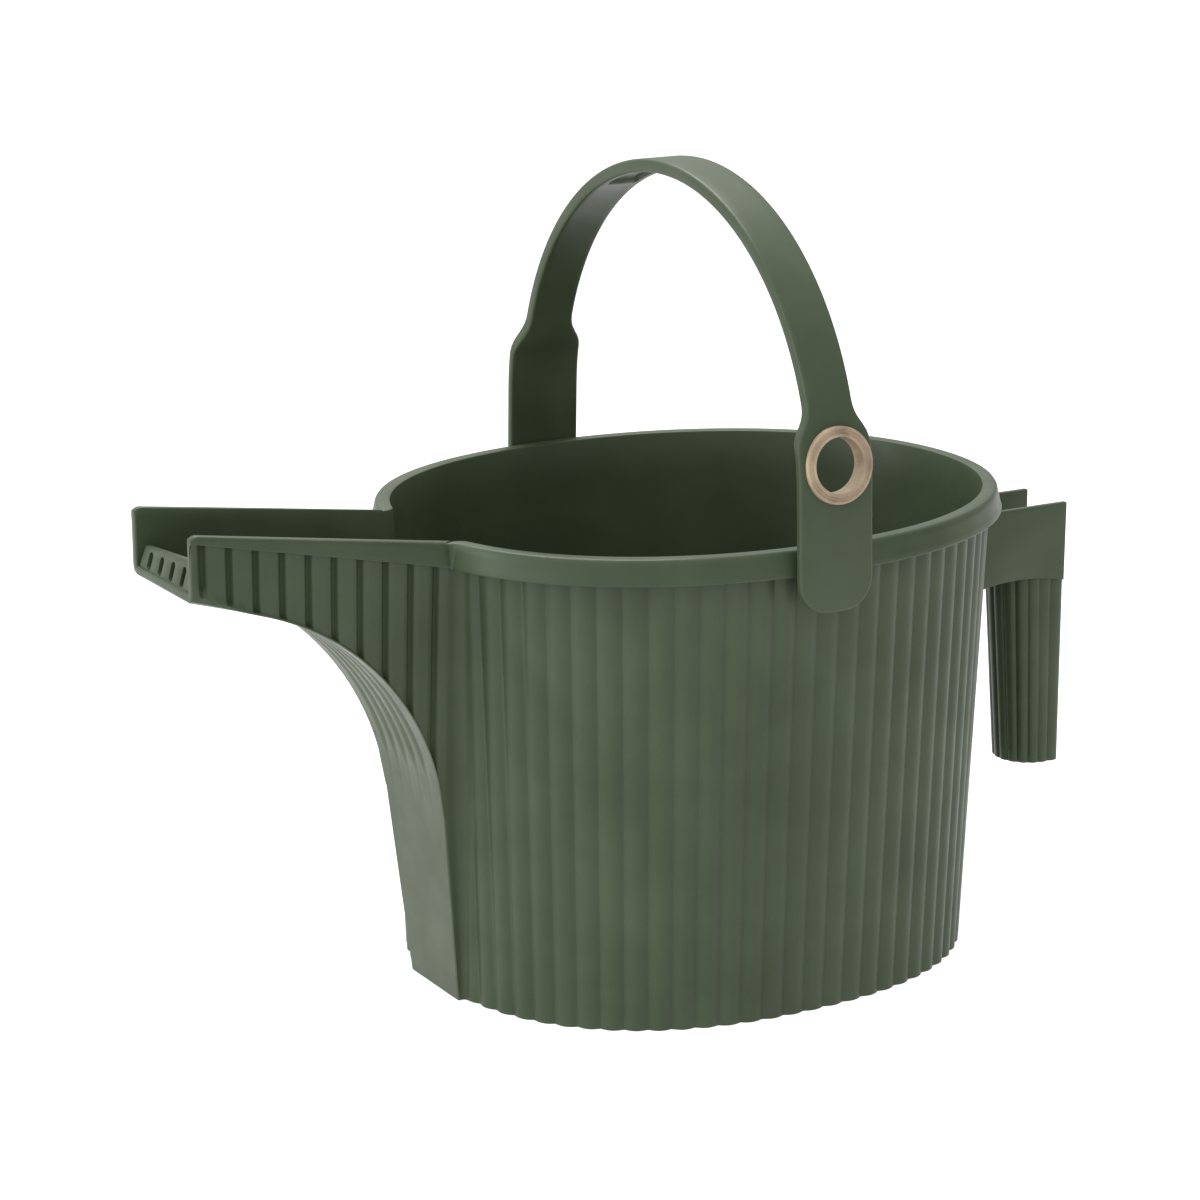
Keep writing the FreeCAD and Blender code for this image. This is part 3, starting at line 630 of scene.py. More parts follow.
def inset_loop(loop, amount, axis):
    """A closed flat loop moved in by amount, in the plane square to axis."""
    keep = [i for i in range(3) if i != axis]
    points = np.array(loop)
    flat = points[:, keep]
    area = np.sum(flat[:, 0] * np.roll(flat[:, 1], -1) - np.roll(flat[:, 0], -1) * flat[:, 1])
    before = flat - np.roll(flat, 1, axis=0)
    after = np.roll(flat, -1, axis=0) - flat
    run = units(units(before) + units(after))
    inward = np.stack([-run[:, 1], run[:, 0]], axis=1) * math.copysign(1.0, area)
    moved = points.copy()
    moved[:, keep] = flat + inward * amount
    return moved


def without_repeats(loop):
    kept = []
    for p in loop:
        if not kept or np.linalg.norm(np.array(p) - np.array(kept[-1])) > WELD_DISTANCE:
            kept.append(p)
    if np.linalg.norm(np.array(kept[0]) - np.array(kept[-1])) < WELD_DISTANCE:
        kept.pop()
    return kept


def closed(loop):
    return list(loop) + [loop[0]]


def add_level_end(build, outline, steps):
    """Rounds a level outline in over steps of inset and height, and caps it."""
    outline = without_repeats(outline)
    loops = [outline]
    for amount, z in steps:
        loop = inset_loop(outline, amount, 2)
        loop[:, 2] = z
        loops.append(loop)
    build.grid([closed(loop) for loop in loops])
    build.cap(loops[-1])


def vessel_mesh():
    """The one moulding of vessel, rim and spout, without its bosses."""
    build = Builder()
    full = COLUMNS[:FULL_COLUMNS]
    low_rows = [wall_row(full, [z] * len(full), False) for z in LOW_HEIGHTS]
    for row in low_rows:
        row[-1] = tuck([row[-1]], OUTER, TUCK * LIP)[0]
    band, lows, tops = band_rows()
    high_rows = []
    lips = [lip_at(column_x(c)) for c in COLUMNS]
    for i, share in enumerate(LIP_SHARES):
        heights = [column_low(c, OUTER) + share * lip for c, lip in zip(COLUMNS, lips)]
        row = wall_row(COLUMNS, heights, i < 2)
        high_rows.append(row)
    corners = []
    for place, lip in zip(high_rows[0][FULL_COLUMNS - 1:], lips[FULL_COLUMNS - 1:]):
        corners += tuck([place], OUTER, TUCK * lip)
    high_rows[0] = high_rows[0][:FULL_COLUMNS - 1] + corners
    low_rows[-1] = high_rows[0][:FULL_COLUMNS]
    for part in HIGH_PARTS:
        heights = [lerp(column_low(column, OUTER) + LIP_SHARES[-1] * lip, low, part)
                   for column, low, lip in zip(COLUMNS, lows, lips)]
        high_rows.append(wall_row(COLUMNS, heights, False))
    inner_rows = []
    for part in np.linspace(0.0, 1.0, 8)[1:]:
        row = []
        for column, top in zip(COLUMNS, tops):
            low = column_low(column, INNER)
            z = lerp(top - INNER_ROUND[-1][1] * MM, low, part)
            x, y = HOLLOW.point(column, z)
            row.append((x, y, z))
        inner_rows.append(row)
    inner_rows[-1] = (inner_rows[-1][:FULL_COLUMNS - 1]
                      + tuck(inner_rows[-1][FULL_COLUMNS - 1:], INNER, -TUCK * LIP))
    floor_rows = []
    for z in FLOOR_HEIGHTS:
        row = [(*HOLLOW.point(c, z), z) for c in full]
        row[-1] = tuck([row[-1]], INNER, -TUCK * LIP)[0]
        floor_rows.append(row)
    floor_rows[-1] = inner_rows[-1][:FULL_COLUMNS]
    upper = high_rows + band + inner_rows
    panel = panel_rows(WALL, OUTER, LOW_HEIGHTS, True)
    channel = panel_rows(HOLLOW, INNER, FLOOR_HEIGHTS, False)
    for half in (low_rows, upper, floor_rows):
        build.grid(half)
        build.grid([mirrored(row) for row in half])
    build.grid(panel)
    build.grid(channel)

    foot = low_rows[0] + panel[0][::-1] + mirrored(low_rows[0])[::-1]
    add_level_end(build, foot, ((FOOT_ROUND, 0.0), (FOOT_MARGIN, 0.0)))
    floor = floor_rows[0] + channel[0][::-1] + mirrored(floor_rows[0])[::-1]
    add_level_end(build, floor, ((FLOOR_CORNER, FLOOR_WALL + FLOOR_CORNER), (FLOOR_ROUND, FLOOR_WALL)))

    end = [row[-1] for row in upper]
    other = mirrored(end)
    section = end + channel[-1][-2:0:-1] + other[::-1] + panel[-1][1:-1]
    loops = [section]
    for turn in (30.0, 60.0, 90.0):
        away = math.radians(turn)
        loop = inset_loop(section, EDGE_ROUND * (1.0 - math.cos(away)), 0)
        loop[:, 0] = MOUTH_X + EDGE_ROUND * (1.0 - math.sin(away))
        loops.append(loop)
    build.grid([closed(loop) for loop in loops])
    first = len(end)
    second = first + len(channel[-1]) - 2
    third = second + len(other)
    face = list(loops[-1])
    build.cap(face[:first])
    build.cap(face[second:third])
    build.cap(face[first - 1:second + 1] + face[third - 1:] + face[:1])
    return build.make("vessel_moulding")


# ---- Making pieces ----

def applied(piece):
    """Works the piece's modifiers into its mesh."""
    bpy.context.view_layer.update()
    graph = bpy.context.evaluated_depsgraph_get()
    mesh = bpy.data.meshes.new_from_object(piece.evaluated_get(graph))
    piece.modifiers.clear()
    piece.data = mesh
    smooth(mesh)
    return piece


def shaded(piece, angle_deg):
    """Smooth faces with sharp edges only above this angle."""
    piece.data.set_sharp_from_angle(angle=math.radians(angle_deg))
    return piece


def combine(piece, tool, operation):
    """Cuts the tool out of the piece or joins it on, and takes the tool away."""
    cut = piece.modifiers.new("combine", "BOOLEAN")
    cut.operation = operation
    cut.solver = "EXACT"
    cut.object = tool
    applied(piece)
    bpy.data.objects.remove(tool)
    return piece


def lathed(name, profile, place, axis, steps):
    """A closed ring or disc turned about an axis from (radius, height) corners."""
    turn = Vector((0.0, 0.0, 1.0)).rotation_difference(Vector(axis))
    rows = []
    for i in range(steps + 1):
        angle = 2.0 * math.pi * (i % steps) / steps
        row = []
        for radius, height in profile:
            spot = Vector((radius * math.cos(angle), radius * math.sin(angle), height))
            row.append(tuple(turn @ spot + Vector(place)))
        row.append(row[0])
        rows.append(row)
    build = Builder()
    build.grid(rows)
    return build.make(name)


def cylinder(name, radius, start, end, steps):
    """A closed round bar from one place to another."""
    length = (Vector(end) - Vector(start)).length
    profile = [(0.0, 0.0), (radius, 0.0), (radius, length), (0.0, length)]
    return lathed(name, profile, start, Vector(end) - Vector(start), steps)


def bevelled(piece, width, segments, angle_deg=None):
    """Rounds the marked edges, or every edge sharper than the angle."""
    bevel = piece.modifiers.new("bevel", "BEVEL")
    bevel.width = width
    bevel.segments = segments
    bevel.use_clamp_overlap = True
    bevel.harden_normals = False
    if angle_deg is None:
        bevel.limit_method = "WEIGHT"
    else:
        bevel.limit_method = "ANGLE"
        bevel.angle_limit = math.radians(angle_deg)
    return applied(piece)


# ---- Bail ----

BAIL_HALF_SPAN = 125.75 * MM
BAIL_RISE = 126.0 * MM
BAIL_SPRING_Z = 231.2 * MM
STRAP_HALF = 11.2 * MM
STRAP_THICKNESS = 5.9 * MM
TAB_HALF = 18.0 * MM
TAB_THICKNESS = 4.3 * MM
TAB_BOTTOM = bail_low.z
TAB_CORNER = 14.0 * MM
TAB_LEAN = 0.03
TAB_THIN_TOP = 250.0 * MM
STRAP_THICK_LOW = 262.0 * MM
SHOULDER_LOW = 252.0 * MM
SHOULDER_HIGH = 272.0 * MM
HOLLOW_HALF_LENGTH = 52.0 * MM
HOLLOW_HALF_WIDTH = 7.5 * MM
HOLLOW_DEPTH = 1.8 * MM
BAIL_STATIONS = 181
STRAP_ROUND = 1.5 * MM
HOLLOW_END = 3.0 * MM             # length of the hollow's sloping ends
HOLLOW_EDGE = 0.5 * MM
HOLLOW_EDGE_DEPTH = 0.15          # share of the depth at the hollow's edge
HOLLOW_SLOPE = 0.7 * MM
TAB_CORNER_STEPS = 14
STUD_GAP = 0.4 * MM               # room between the stud's tip and the socket's bottom
RING_CUT = 12.0 * MM
MARKED_ANGLE = 50.0
HOLE_STEPS = 96
STUD_STEPS = 48
BOSS_STEPS = 64


def cubic(a, b, c, d, t):
    return a * (1 - t) ** 3 + 3 * b * (1 - t) ** 2 * t + 3 * c * (1 - t) * t ** 2 + d * t ** 3


def shoulder_half(z):
    """Half width of the bail at a height: strap, curved shoulder or tab."""
    t = np.linspace(0.0, 1.0, 41)
    middle = (SHOULDER_LOW + SHOULDER_HIGH) / 2.0
    heights = cubic(SHOULDER_HIGH, middle, middle, SHOULDER_LOW, t)
    halves = cubic(STRAP_HALF, STRAP_HALF, TAB_HALF, TAB_HALF, t)
    return float(np.interp(z, heights[::-1], halves[::-1]))


def bail_mesh():
    """A flat strap bent into an arch that widens into two rounded tabs."""
    foot_z = BAIL_SPRING_Z + TAB_LEAN * BAIL_RISE ** 2 / BAIL_HALF_SPAN
    widest = math.acos((foot_z - BAIL_SPRING_Z) / BAIL_RISE)
    build = Builder()
    outer_rows = []
    inner_rows = []
    for i in range(BAIL_STATIONS):
        turn = lerp(-widest, widest, i / (BAIL_STATIONS - 1.0))
        place = np.array([BAIL_HALF_SPAN * math.sin(turn), BAIL_SPRING_Z + BAIL_RISE * math.cos(turn)])
        out = unit(np.array([math.sin(turn) / BAIL_HALF_SPAN, math.cos(turn) / BAIL_RISE]))
        half = shoulder_half(place[1])
        thick = lerp(TAB_THICKNESS, STRAP_THICKNESS,
                     smooth_step(TAB_THIN_TOP, STRAP_THICK_LOW, place[1]))
        end_gap = HOLLOW_HALF_LENGTH - abs(place[0])
        recess = HOLLOW_DEPTH * smooth_step(0.0, HOLLOW_END, end_gap)
        outer = []
        for x in (-half, -half * 0.5, 0.0, half * 0.5, half):
            outer.append((hinge.x + x, place[0], place[1]))
        edges = ((half, 0.0), (HOLLOW_HALF_WIDTH + HOLLOW_EDGE, 0.0),
                 (HOLLOW_HALF_WIDTH, HOLLOW_EDGE_DEPTH), (HOLLOW_HALF_WIDTH - HOLLOW_SLOPE, 1.0),
                 (0.0, 1.0))
        inner = []
        for x, share in [(-x, share) for x, share in edges] + list(edges[3::-1]):
            y, z = place - out * (thick - recess * share)
            inner.append((hinge.x + x, y, z))
        outer_rows.append(outer)
        inner_rows.append(inner)
    build.grid(outer_rows)
    build.grid(inner_rows)
    build.grid([[o[0], i[0]] for o, i in zip(outer_rows, inner_rows)])
    build.grid([[o[-1], i[-1]] for o, i in zip(outer_rows, inner_rows)])
    for side, outer, inner in ((-1.0, outer_rows[0], inner_rows[0]),
                               (1.0, outer_rows[-1], inner_rows[-1])):
        add_tab(build, side, foot_z, outer, inner)
    piece = build.make("bail_strap")
    mark_long_edges(piece, foot_z)
    bevelled(piece, STRAP_ROUND, 4)
    return piece


def add_tab(build, side, foot_z, outer_row, inner_row):
    """The flat lower part of a tab, with its rounded end, joined on to the arch's last rows."""
    start_y = abs(outer_row[0][1])
    lean = unit(np.array([1.0, TAB_LEAN]))
    outline = []
    for i in range(TAB_CORNER_STEPS + 1):
        turn = math.pi / 2.0 * i / TAB_CORNER_STEPS
        x = TAB_HALF - TAB_CORNER + TAB_CORNER * math.cos(turn)
        outline.append((x, TAB_BOTTOM + TAB_CORNER - TAB_CORNER * math.sin(turn)))
    path = outline + [(-x, z) for x, z in outline[::-1]]
    faces = []
    for depth in (0.0, TAB_THICKNESS):
        row = []
        for x, z in path:
            y = start_y + TAB_LEAN * (foot_z - z) - lean[0] * depth
            row.append((hinge.x + x, side * y, z - lean[1] * depth))
        faces.append(row)
    build.cap(faces[0] + list(outer_row))
    build.cap(faces[1] + list(inner_row))
    build.grid([[outer_row[-1]] + faces[0] + [outer_row[0]],
                [inner_row[-1]] + faces[1] + [inner_row[0]]])


def mark_long_edges(piece, foot_z):
    """Marks the bail's outline on both faces for rounding, and leaves the hollow's edges out."""
    shape = bmesh.new()
    shape.from_mesh(piece.data)
    layer = shape.edges.layers.float.new("bevel_weight_edge")
    for edge in shape.edges:
        middle = (edge.verts[0].co + edge.verts[1].co) / 2.0
        in_hollow = abs(middle.x - hinge.x) < HOLLOW_HALF_WIDTH + 2.0 * HOLLOW_EDGE
        low = middle.z < foot_z
        if edge.calc_face_angle(0.0) > math.radians(MARKED_ANGLE) and (low or not in_hollow):
            edge[layer] = 1.0
    shape.to_mesh(piece.data)
    shape.free()


def on_hinge(y):
    return (hinge.x, y, hinge.z)


def finished_bail():
    piece = bail_mesh()
    place, axis = ring_frame()
    hole = cylinder("hole", RING_SLEEVE, place - axis * RING_CUT, place + axis * RING_CUT, HOLE_STEPS)
    combine(piece, hole, "DIFFERENCE")
    for side in (-1.0, 1.0):
        tip = on_hinge(side * (BOSS_FACE - SOCKET_DEPTH + STUD_GAP))
        root = on_hinge(side * (BAIL_HALF_SPAN - TAB_THICKNESS / 2.0))
        stud = cylinder("stud", STUD_RADIUS, tip, root, STUD_STEPS)
        combine(piece, stud, "UNION")
    return shaded(piece, 32.0)


# ---- Pivots and ring ----

STUD_RADIUS = 4.0 * MM
BOSS_RADIUS = 8.0 * MM
BOSS_FACE = 121.4 * MM
SOCKET_DEPTH = 6.2 * MM
SOCKET_CLEARANCE = 0.08 * MM
SOCKET_PAST = 4.0 * MM
BOSS_ROOT = 4.5 * MM              # how deep the boss starts inside the rim's side

RING_OUTER = 16.3 * MM
RING_SLEEVE = 13.6 * MM
RING_BORE = ring_mount["dims"]["r_mm"] * MM
RING_HALF = 3.8 * MM
RING_FACE = 1.2 * MM              # the flanges' inner faces stand this far from the middle
RING_STEPS = 128
RING_LAND = 0.7 * MM              # depth of the flat land between the ring's two lips
RING_ROUND = 0.8 * MM
RING_SMALL_ROUND = 0.4 * MM
RING_OUTER_DROP = 0.1 * MM        # the outer lip is this much lower than the inner one
RING_INNER_LIP = 1.2 * MM         # from the bore to the middle of the inner lip's small round
RING_OUTER_LIP = 1.0 * MM         # and the same at the outer lip
RING_LAND_START = 1.9 * MM
RING_LAND_END = 1.7 * MM


def ring_frame():
    return Vector(ring_mount["pos_m"]), Vector(ring_mount["axis"]).normalized()


def rounded_corner(centre, radius, start_deg, end_deg, steps=5):
    """(radius, height) corners of an arc in a lathe profile."""
    corners = []
    for i in range(steps + 1):
        turn = math.radians(lerp(start_deg, end_deg, i / steps))
        corners.append((centre[0] + radius * math.cos(turn), centre[1] + radius * math.sin(turn)))
    return corners


def ring_front_piece():
    """Flange with raised inner and outer lips, and the sleeve behind it."""
    place, axis = ring_frame()
    lip_top = RING_HALF
    land = RING_HALF - RING_LAND
    profile = [(RING_BORE, -RING_HALF)]
    profile += rounded_corner((RING_BORE + RING_ROUND, lip_top - RING_ROUND), RING_ROUND, 180.0, 90.0)
    profile += rounded_corner((RING_BORE + RING_INNER_LIP, lip_top - RING_SMALL_ROUND),
                              RING_SMALL_ROUND, 90.0, 10.0)
    profile += [(RING_BORE + RING_LAND_START, land), (RING_OUTER - RING_LAND_END, land)]
    outer_top = lip_top - RING_OUTER_DROP
    profile += rounded_corner((RING_OUTER - RING_OUTER_LIP, outer_top - RING_SMALL_ROUND),
                              RING_SMALL_ROUND, 170.0, 90.0)
    profile += rounded_corner((RING_OUTER - RING_ROUND, outer_top - RING_ROUND), RING_ROUND, 90.0, 0.0)
    profile += [(RING_OUTER, RING_FACE), (RING_SLEEVE, RING_FACE), (RING_SLEEVE, -RING_HALF)]
    return lathed("hanging_ring_front", profile, place, axis, RING_STEPS)


def ring_back_piece():
    """Back flange that closes over the sleeve."""
    place, axis = ring_frame()
    profile = [(RING_SLEEVE, -RING_HALF), (RING_SLEEVE, -RING_FACE), (RING_OUTER, -RING_FACE)]
    profile += rounded_corner((RING_OUTER - RING_ROUND, -RING_HALF + RING_ROUND),
                              RING_ROUND, 0.0, -90.0)
    return lathed("hanging_ring_back", profile, place, axis, RING_STEPS)


def finished_vessel():
    piece = vessel_mesh()
    for side in (-1.0, 1.0):
        root = on_hinge(side * (RIM_OVAL[3] - BOSS_ROOT))
        face = on_hinge(side * BOSS_FACE)
        boss = cylinder("boss", BOSS_RADIUS, root, face, BOSS_STEPS)
        combine(piece, boss, "UNION")
        bottom = on_hinge(side * (BOSS_FACE - SOCKET_DEPTH))
        past = on_hinge(side * (BOSS_FACE + SOCKET_PAST))
        socket = cylinder("socket", STUD_RADIUS + SOCKET_CLEARANCE, bottom, past, BOSS_STEPS)
        combine(piece, socket, "DIFFERENCE")
    return shaded(piece, 38.0)


# ---- Rear grip ----

GRIP_HALF_WIDTH = 16.7 * MM
GRIP_WALL = 3.0 * MM
GRIP_END_X = grip_high.x
GRIP_LEG_END_X = 197.3 * MM
GRIP_TOP = grip_high.z
GRIP_PLATE_LOW = 145.0 * MM
GRIP_ARCH_X = 170.0 * MM
GRIP_LEG_BOTTOM = grip_low.z
GRIP_NOSE_TOP_X = 183.2 * MM
GRIP_NOSE_BOTTOM_X = 190.4 * MM
GRIP_RIBS = 12
GRIP_RIB_DEPTH = 0.9 * MM
GRIP_LEG_INSET = 0.5 * MM
GRIP_END_LEAN = 0.3 * MM
GRIP_PLATE_START_X = 134.0 * MM
GRIP_PLATE_RISE = 3.0 * MM        # height of the arch under a plate
GRIP_ARCH_MARGIN = 24.0 * MM
GRIP_ARCH_DIP = -0.2              # lowest share of the rise, next to the wall
GRIP_WALL_SINK = 1.9 * MM         # how far a plate runs into the fluted wall
GRIP_LEG_OVERLAP = 0.4 * MM       # how far the leg runs into the plates above their arch
GRIP_INNER_GAP = 0.1 * MM         # keeps the leg's and the plates' inner faces apart
GRIP_PLATE_ROUND = 0.7 * MM
GRIP_LEG_ROUND = 0.5 * MM
GRIP_STEPS = 12                   # places along each rib of the leg
GRIP_LEG_PARTS = (0.1, 0.3, 0.5, 0.7, 0.9, 1.0)


def grip_plate(side):
    """One side plate from the wall out to the grip's end, arched underneath."""
    face = side * GRIP_HALF_WIDTH
    outline = []
    for i in range(19):
        part = i / 18.0
        x = lerp(GRIP_PLATE_START_X, GRIP_END_X - GRIP_END_LEAN, part)
        bow = 1.0 - (2.0 * (x - GRIP_ARCH_X) / (GRIP_END_X - GRIP_ARCH_X + GRIP_ARCH_MARGIN)) ** 2
        outline.append((x, GRIP_PLATE_LOW + GRIP_PLATE_RISE * max(GRIP_ARCH_DIP, bow)))
    outline.append((GRIP_END_X, GRIP_TOP))
    for i in range(9):
        z = lerp(GRIP_TOP, outline[0][1], i / 8.0)
        outline.append((WALL.oval(0.0, z)[0] - GRIP_WALL_SINK, z))
    build = Builder()
    rows = []
    for y in (face, face - side * GRIP_WALL):
        row = [(x, y, z) for x, z in outline]
        build.cap(row)
        rows.append(closed(row))
    build.grid(rows)
    piece = build.make("grip_plate")
    return bevelled(piece, GRIP_PLATE_ROUND, 3, 30.0)


def hairpin(nose_x, inset, ribs):
    """Places along one side of the leg, round its nose and back along the other side."""
    radius = GRIP_HALF_WIDTH - inset
    straight = GRIP_LEG_END_X - nose_x
    total = 2.0 * straight + math.pi * radius
    steps = GRIP_RIBS * GRIP_STEPS
    path = []
    for i in range(steps + 1):
        run = total * i / steps
        away = abs(2.0 * ((run / total * GRIP_RIBS) % 1.0) - 1.0)
        dip = GRIP_RIB_DEPTH * away ** 2.4 if ribs else 0.0
        if run < straight:
            path.append((GRIP_LEG_END_X - run, -radius + dip))
        elif run > total - straight:
            path.append((GRIP_LEG_END_X - (total - run), radius - dip))
        else:
            turn = (run - straight) / radius
            path.append((nose_x - (radius - dip) * math.sin(turn), -(radius - dip) * math.cos(turn)))
    return path


def grip_leg():
    """The hollow ribbed leg, open behind."""
    top = GRIP_PLATE_LOW + GRIP_PLATE_RISE + GRIP_LEG_OVERLAP
    rounding = EDGE_ROUND
    heights = [(GRIP_LEG_BOTTOM, rounding), (GRIP_LEG_BOTTOM + 0.3 * rounding, 0.3 * rounding),
               (GRIP_LEG_BOTTOM + rounding, 0.0)]
    heights += [(lerp(GRIP_LEG_BOTTOM, top, part), 0.0) for part in GRIP_LEG_PARTS]
    build = Builder()
    rows = []
    for z, tuck_in in heights:
        part = (z - GRIP_LEG_BOTTOM) / (top - GRIP_LEG_BOTTOM)
        nose = lerp(GRIP_NOSE_BOTTOM_X, GRIP_NOSE_TOP_X, part)
        outer = hairpin(nose, GRIP_LEG_INSET + tuck_in, True)
        inner = hairpin(nose, GRIP_WALL - GRIP_INNER_GAP - tuck_in, False)
        rows.append(closed([(x, y, z) for x, y in outer + inner[::-1]]))
    build.grid(rows)
    count = GRIP_RIBS * GRIP_STEPS + 1
    for row in (rows[0], rows[-1]):
        build.grid([row[:count], row[count:2 * count][::-1]])
    piece = build.make("grip_leg")
    return bevelled(piece, GRIP_LEG_ROUND, 2, 60.0)


def joined(pieces, name):
    """Several pieces in one object."""
    shape = bmesh.new()
    for piece in pieces:
        shape.from_mesh(piece.data)
    mesh = bpy.data.meshes.new(name)
    shape.to_mesh(mesh)
    shape.free()
    for piece in pieces:
        bpy.data.objects.remove(piece)
    smooth(mesh)
    return linked(name, mesh)


# ---- Materials ----

PLASTIC_IOR = 1.49
SPECULAR = 0.3
CLOUD_SCALE = 22.0                # soft colour changes over some centimetres
GRAIN_SCALE = 1800.0
GRAIN_SHARE = 0.22                # how much the grain adds to the colour changes
RAMP_LOW = 0.42
RAMP_HIGH = 0.78
WEAR_SCALE = 60.0
GLOSS_SPREAD = 0.05               # how far the roughness strays to both sides
GRAIN_STRENGTH = 0.18
GRAIN_HEIGHT = 0.06 * MM
SINK_SCALE = 35.0                 # slight waves, as on any large moulding
SINK_STRENGTH = 0.25
SINK_HEIGHT = 0.5 * MM

def plastic(name, deep, light, roughness, marble):
    """Satin moulded plastic: soft large and small colour changes, fine grain and uneven gloss."""
    material = bpy.data.materials.new(name)
    material.use_nodes = True
    nodes = material.node_tree.nodes
    links = material.node_tree.links
    shader = nodes["Principled BSDF"]
    shader.inputs["IOR"].default_value = PLASTIC_IOR
    shader.inputs["Specular IOR Level"].default_value = SPECULAR
    place = nodes.new("ShaderNodeTexCoord")

    def noise(scale, detail, distortion=0.0):
        texture = nodes.new("ShaderNodeTexNoise")
        texture.inputs["Scale"].default_value = scale
        texture.inputs["Detail"].default_value = detail
        texture.inputs["Distortion"].default_value = distortion
        links.new(place.outputs["Object"], texture.inputs["Vector"])
        return texture

    cloud = noise(CLOUD_SCALE, 3.0, marble)
    grain = noise(GRAIN_SCALE, 2.0)
    both = nodes.new("ShaderNodeMath")
    both.operation = "MULTIPLY_ADD"
    both.inputs[1].default_value = GRAIN_SHARE
    links.new(grain.outputs["Fac"], both.inputs[0])
    links.new(cloud.outputs["Fac"], both.inputs[2])
    ramp = nodes.new("ShaderNodeValToRGB")
    ramp.color_ramp.elements[0].position = RAMP_LOW
    ramp.color_ramp.elements[1].position = RAMP_HIGH
    ramp.color_ramp.elements[0].color = (*deep, 1.0)
    ramp.color_ramp.elements[1].color = (*light, 1.0)
    links.new(both.outputs["Value"], ramp.inputs["Fac"])
    links.new(ramp.outputs["Color"], shader.inputs["Base Color"])

    gloss = nodes.new("ShaderNodeMapRange")
    gloss.inputs["From Min"].default_value = 0.3
    gloss.inputs["From Max"].default_value = 0.7
    gloss.inputs["To Min"].default_value = roughness - GLOSS_SPREAD
    gloss.inputs["To Max"].default_value = roughness + GLOSS_SPREAD
    wear = noise(WEAR_SCALE, 4.0)
    links.new(wear.outputs["Fac"], gloss.inputs["Value"])
    links.new(gloss.outputs["Result"], shader.inputs["Roughness"])

    fine = nodes.new("ShaderNodeBump")
    fine.inputs["Strength"].default_value = GRAIN_STRENGTH
    fine.inputs["Distance"].default_value = GRAIN_HEIGHT
    links.new(grain.outputs["Fac"], fine.inputs["Height"])
    wave = nodes.new("ShaderNodeBump")
    wave.inputs["Strength"].default_value = SINK_STRENGTH
    wave.inputs["Distance"].default_value = SINK_HEIGHT
    sink = noise(SINK_SCALE, 1.0)
    links.new(sink.outputs["Fac"], wave.inputs["Height"])
    links.new(fine.outputs["Normal"], wave.inputs["Normal"])
    links.new(wave.outputs["Normal"], shader.inputs["Normal"])
    return material


# ---- The object ----

green = plastic("green_plastic", (0.032, 0.048, 0.023), (0.045, 0.064, 0.033), 0.42, 0.4)
beige = plastic("beige_plastic", (0.22, 0.165, 0.110), (0.41, 0.315, 0.215), 0.36, 2.5)


def place_piece(piece, body, material, slot, *nodes):
    piece.data.materials.clear()
    piece.data.materials.append(material)
    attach(piece, body)
    if nodes:
        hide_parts(*nodes)
    return piece


def dress_strainer(strainer):
    """Gives the CAD's strainer its plastic and rounds its edges."""
    strainer.data.materials.clear()
    strainer.data.materials.append(green)
    weld = strainer.modifiers.new("weld", "WELD")
    weld.merge_threshold = 0.01 * MM
    rounding = strainer.modifiers.new("bevel", "BEVEL")
    rounding.width = 0.4 * MM
    rounding.segments = 2
    rounding.limit_method = "ANGLE"
    rounding.angle_limit = math.radians(50.0)
    smooth(strainer.data)
    shaded(strainer, 35.0)


vessel = finished_vessel()
place_piece(vessel, "vessel", green, "green_plastic", "vessel_shell", "rim_band", "spout_trough")
bail = finished_bail()
place_piece(bail, "bail", green, "green_plastic", "bail_handle")
front_ring = shaded(ring_front_piece(), 40.0)
place_piece(front_ring, "bail", beige, "beige_plastic", "ring_front")
back_ring = shaded(ring_back_piece(), 40.0)
place_piece(back_ring, "bail", beige, "beige_plastic", "ring_back")
grip = shaded(joined([grip_plate(-1.0), grip_plate(1.0), grip_leg()], "rear_grip_skin"), 35.0)
place_piece(grip, "vessel", green, "green_plastic", "rear_grip")

dress_strainer(frame["nodes"]["spout_strainer"])


# ---- Floor, light and camera ----

FLOOR_SIZE = 6.0
FLOOR_GREY = (0.3, 0.3, 0.3, 1.0)
FLOOR_GLOW = 0.9

def floor_piece():
    """A wide white floor, bright enough to melt into the backdrop."""
    size = FLOOR_SIZE
    build = Builder()
    build.cap([(-size, -size, 0.0), (size, -size, 0.0), (size, size, 0.0), (-size, size, 0.0)])
    piece = build.make("floor")
    material = bpy.data.materials.new("floor")
    material.use_nodes = True
    shader = material.node_tree.nodes["Principled BSDF"]
    shader.inputs["Base Color"].default_value = FLOOR_GREY
    shader.inputs["Roughness"].default_value = 0.9
    shader.inputs["Specular IOR Level"].default_value = 0.1
    shader.inputs["Emission Color"].default_value = (1.0, 1.0, 1.0, 1.0)
    shader.inputs["Emission Strength"].default_value = FLOOR_GLOW
    piece.data.materials.append(material)


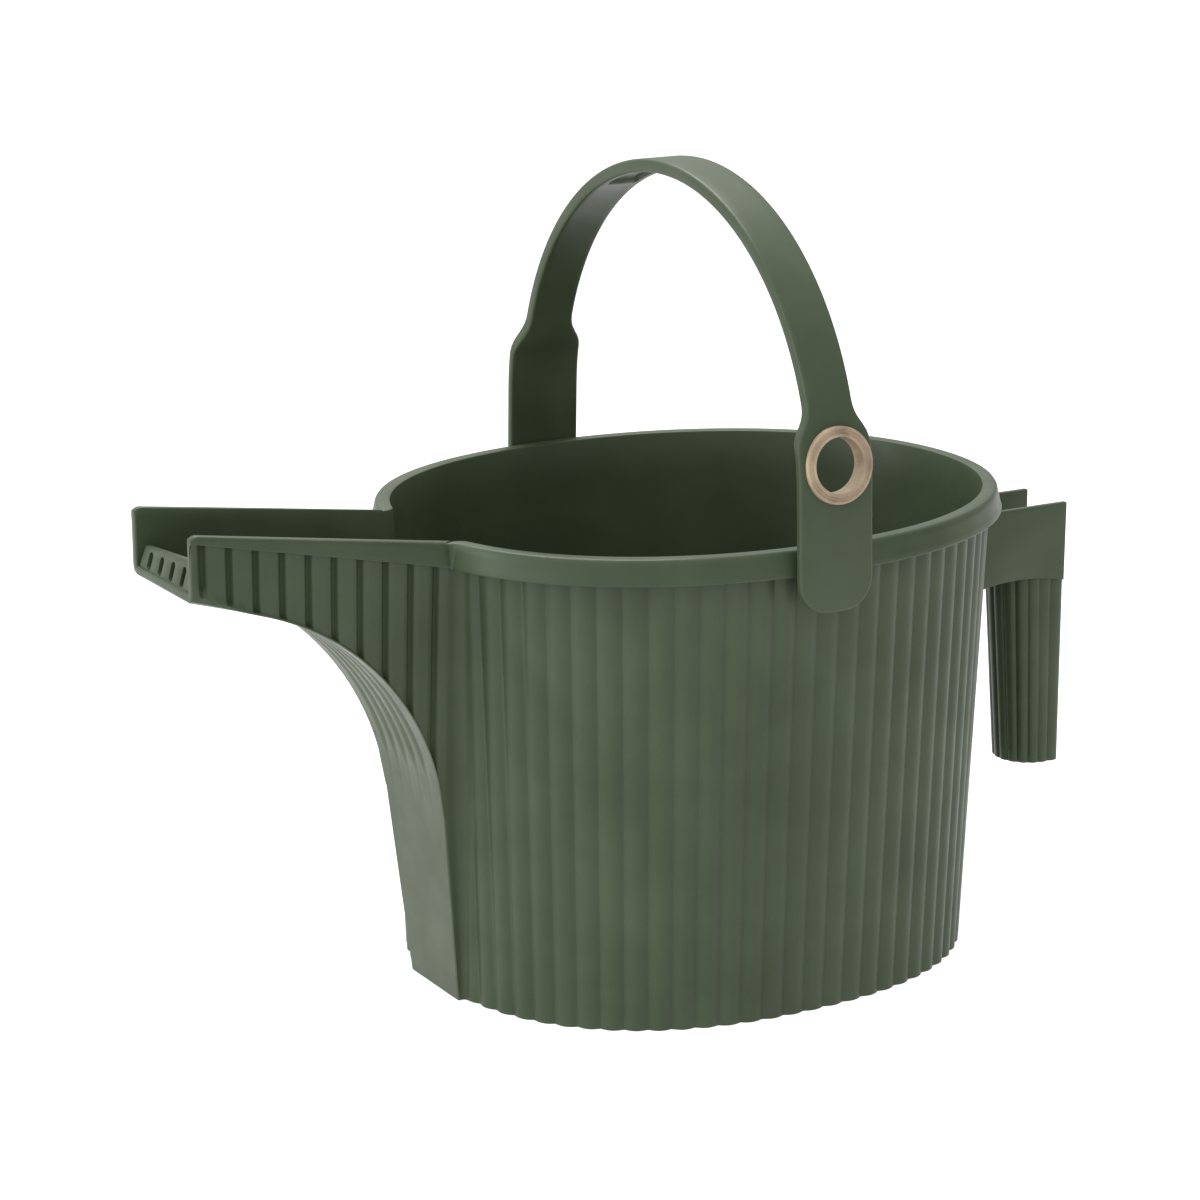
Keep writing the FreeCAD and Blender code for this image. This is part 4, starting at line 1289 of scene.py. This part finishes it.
SKY_LEVEL = 0.60                  # brightness of the studio at the horizon
SKY_SLOPE = (-0.30, 0.05, 1.05)   # and how it grows upwards and to the left
CAMERA_PLACE = (-0.7862, -1.27725, 0.5637)
CAMERA_AIM = (-0.0280, 0.0329, 0.1545)
CAMERA_LENS = 103.72
CAMERA_ROLL_DEG = -0.16


def soft_light(name, place, aim, size, power):
    lamp = bpy.data.lights.new(name, "AREA")
    lamp.shape = "DISK"
    lamp.size = size
    lamp.energy = power
    holder = linked(name, lamp)
    holder.location = place
    holder.rotation_euler = (Vector(aim) - Vector(place)).to_track_quat("-Z", "Y").to_euler()


def camera():
    place = Vector(CAMERA_PLACE)
    aim = Vector(CAMERA_AIM)
    lens = bpy.data.cameras.new("camera")
    lens.lens = CAMERA_LENS
    lens.sensor_width = 36.0
    lens.clip_end = 50.0
    holder = linked("camera", lens)
    turn = (aim - place).to_track_quat("-Z", "Y").to_matrix()
    turn = turn @ Matrix.Rotation(math.radians(CAMERA_ROLL_DEG), 3, "Z")
    holder.location = place
    holder.rotation_euler = turn.to_euler()
    bpy.context.scene.camera = holder


def studio():
    """Surroundings that grow brighter upwards."""
    world = bpy.data.worlds.new("studio")
    world.use_nodes = True
    sky = world.node_tree
    backdrop = sky.nodes["Background"]
    toward = sky.nodes.new("ShaderNodeTexCoord")
    slope = sky.nodes.new("ShaderNodeVectorMath")
    slope.operation = "DOT_PRODUCT"
    slope.inputs[1].default_value = SKY_SLOPE
    sky.links.new(toward.outputs["Generated"], slope.inputs[0])
    level = sky.nodes.new("ShaderNodeMath")
    level.operation = "ADD"
    level.inputs[1].default_value = SKY_LEVEL
    sky.links.new(slope.outputs["Value"], level.inputs[0])
    sky.links.new(level.outputs["Value"], backdrop.inputs["Strength"])
    backdrop.inputs["Color"].default_value = (1.0, 1.0, 1.0, 1.0)
    bpy.context.scene.world = world
    bpy.context.scene.view_settings.view_transform = "Standard"


floor_piece()
soft_light("top", (0.15, 0.7, 1.9), (0.0, 0.0, 0.1), 1.1, 34.0)
soft_light("left", (-1.9, 0.2, 0.5), (-0.1, 0.0, 0.1), 1.2, 15.0)
camera()

studio()
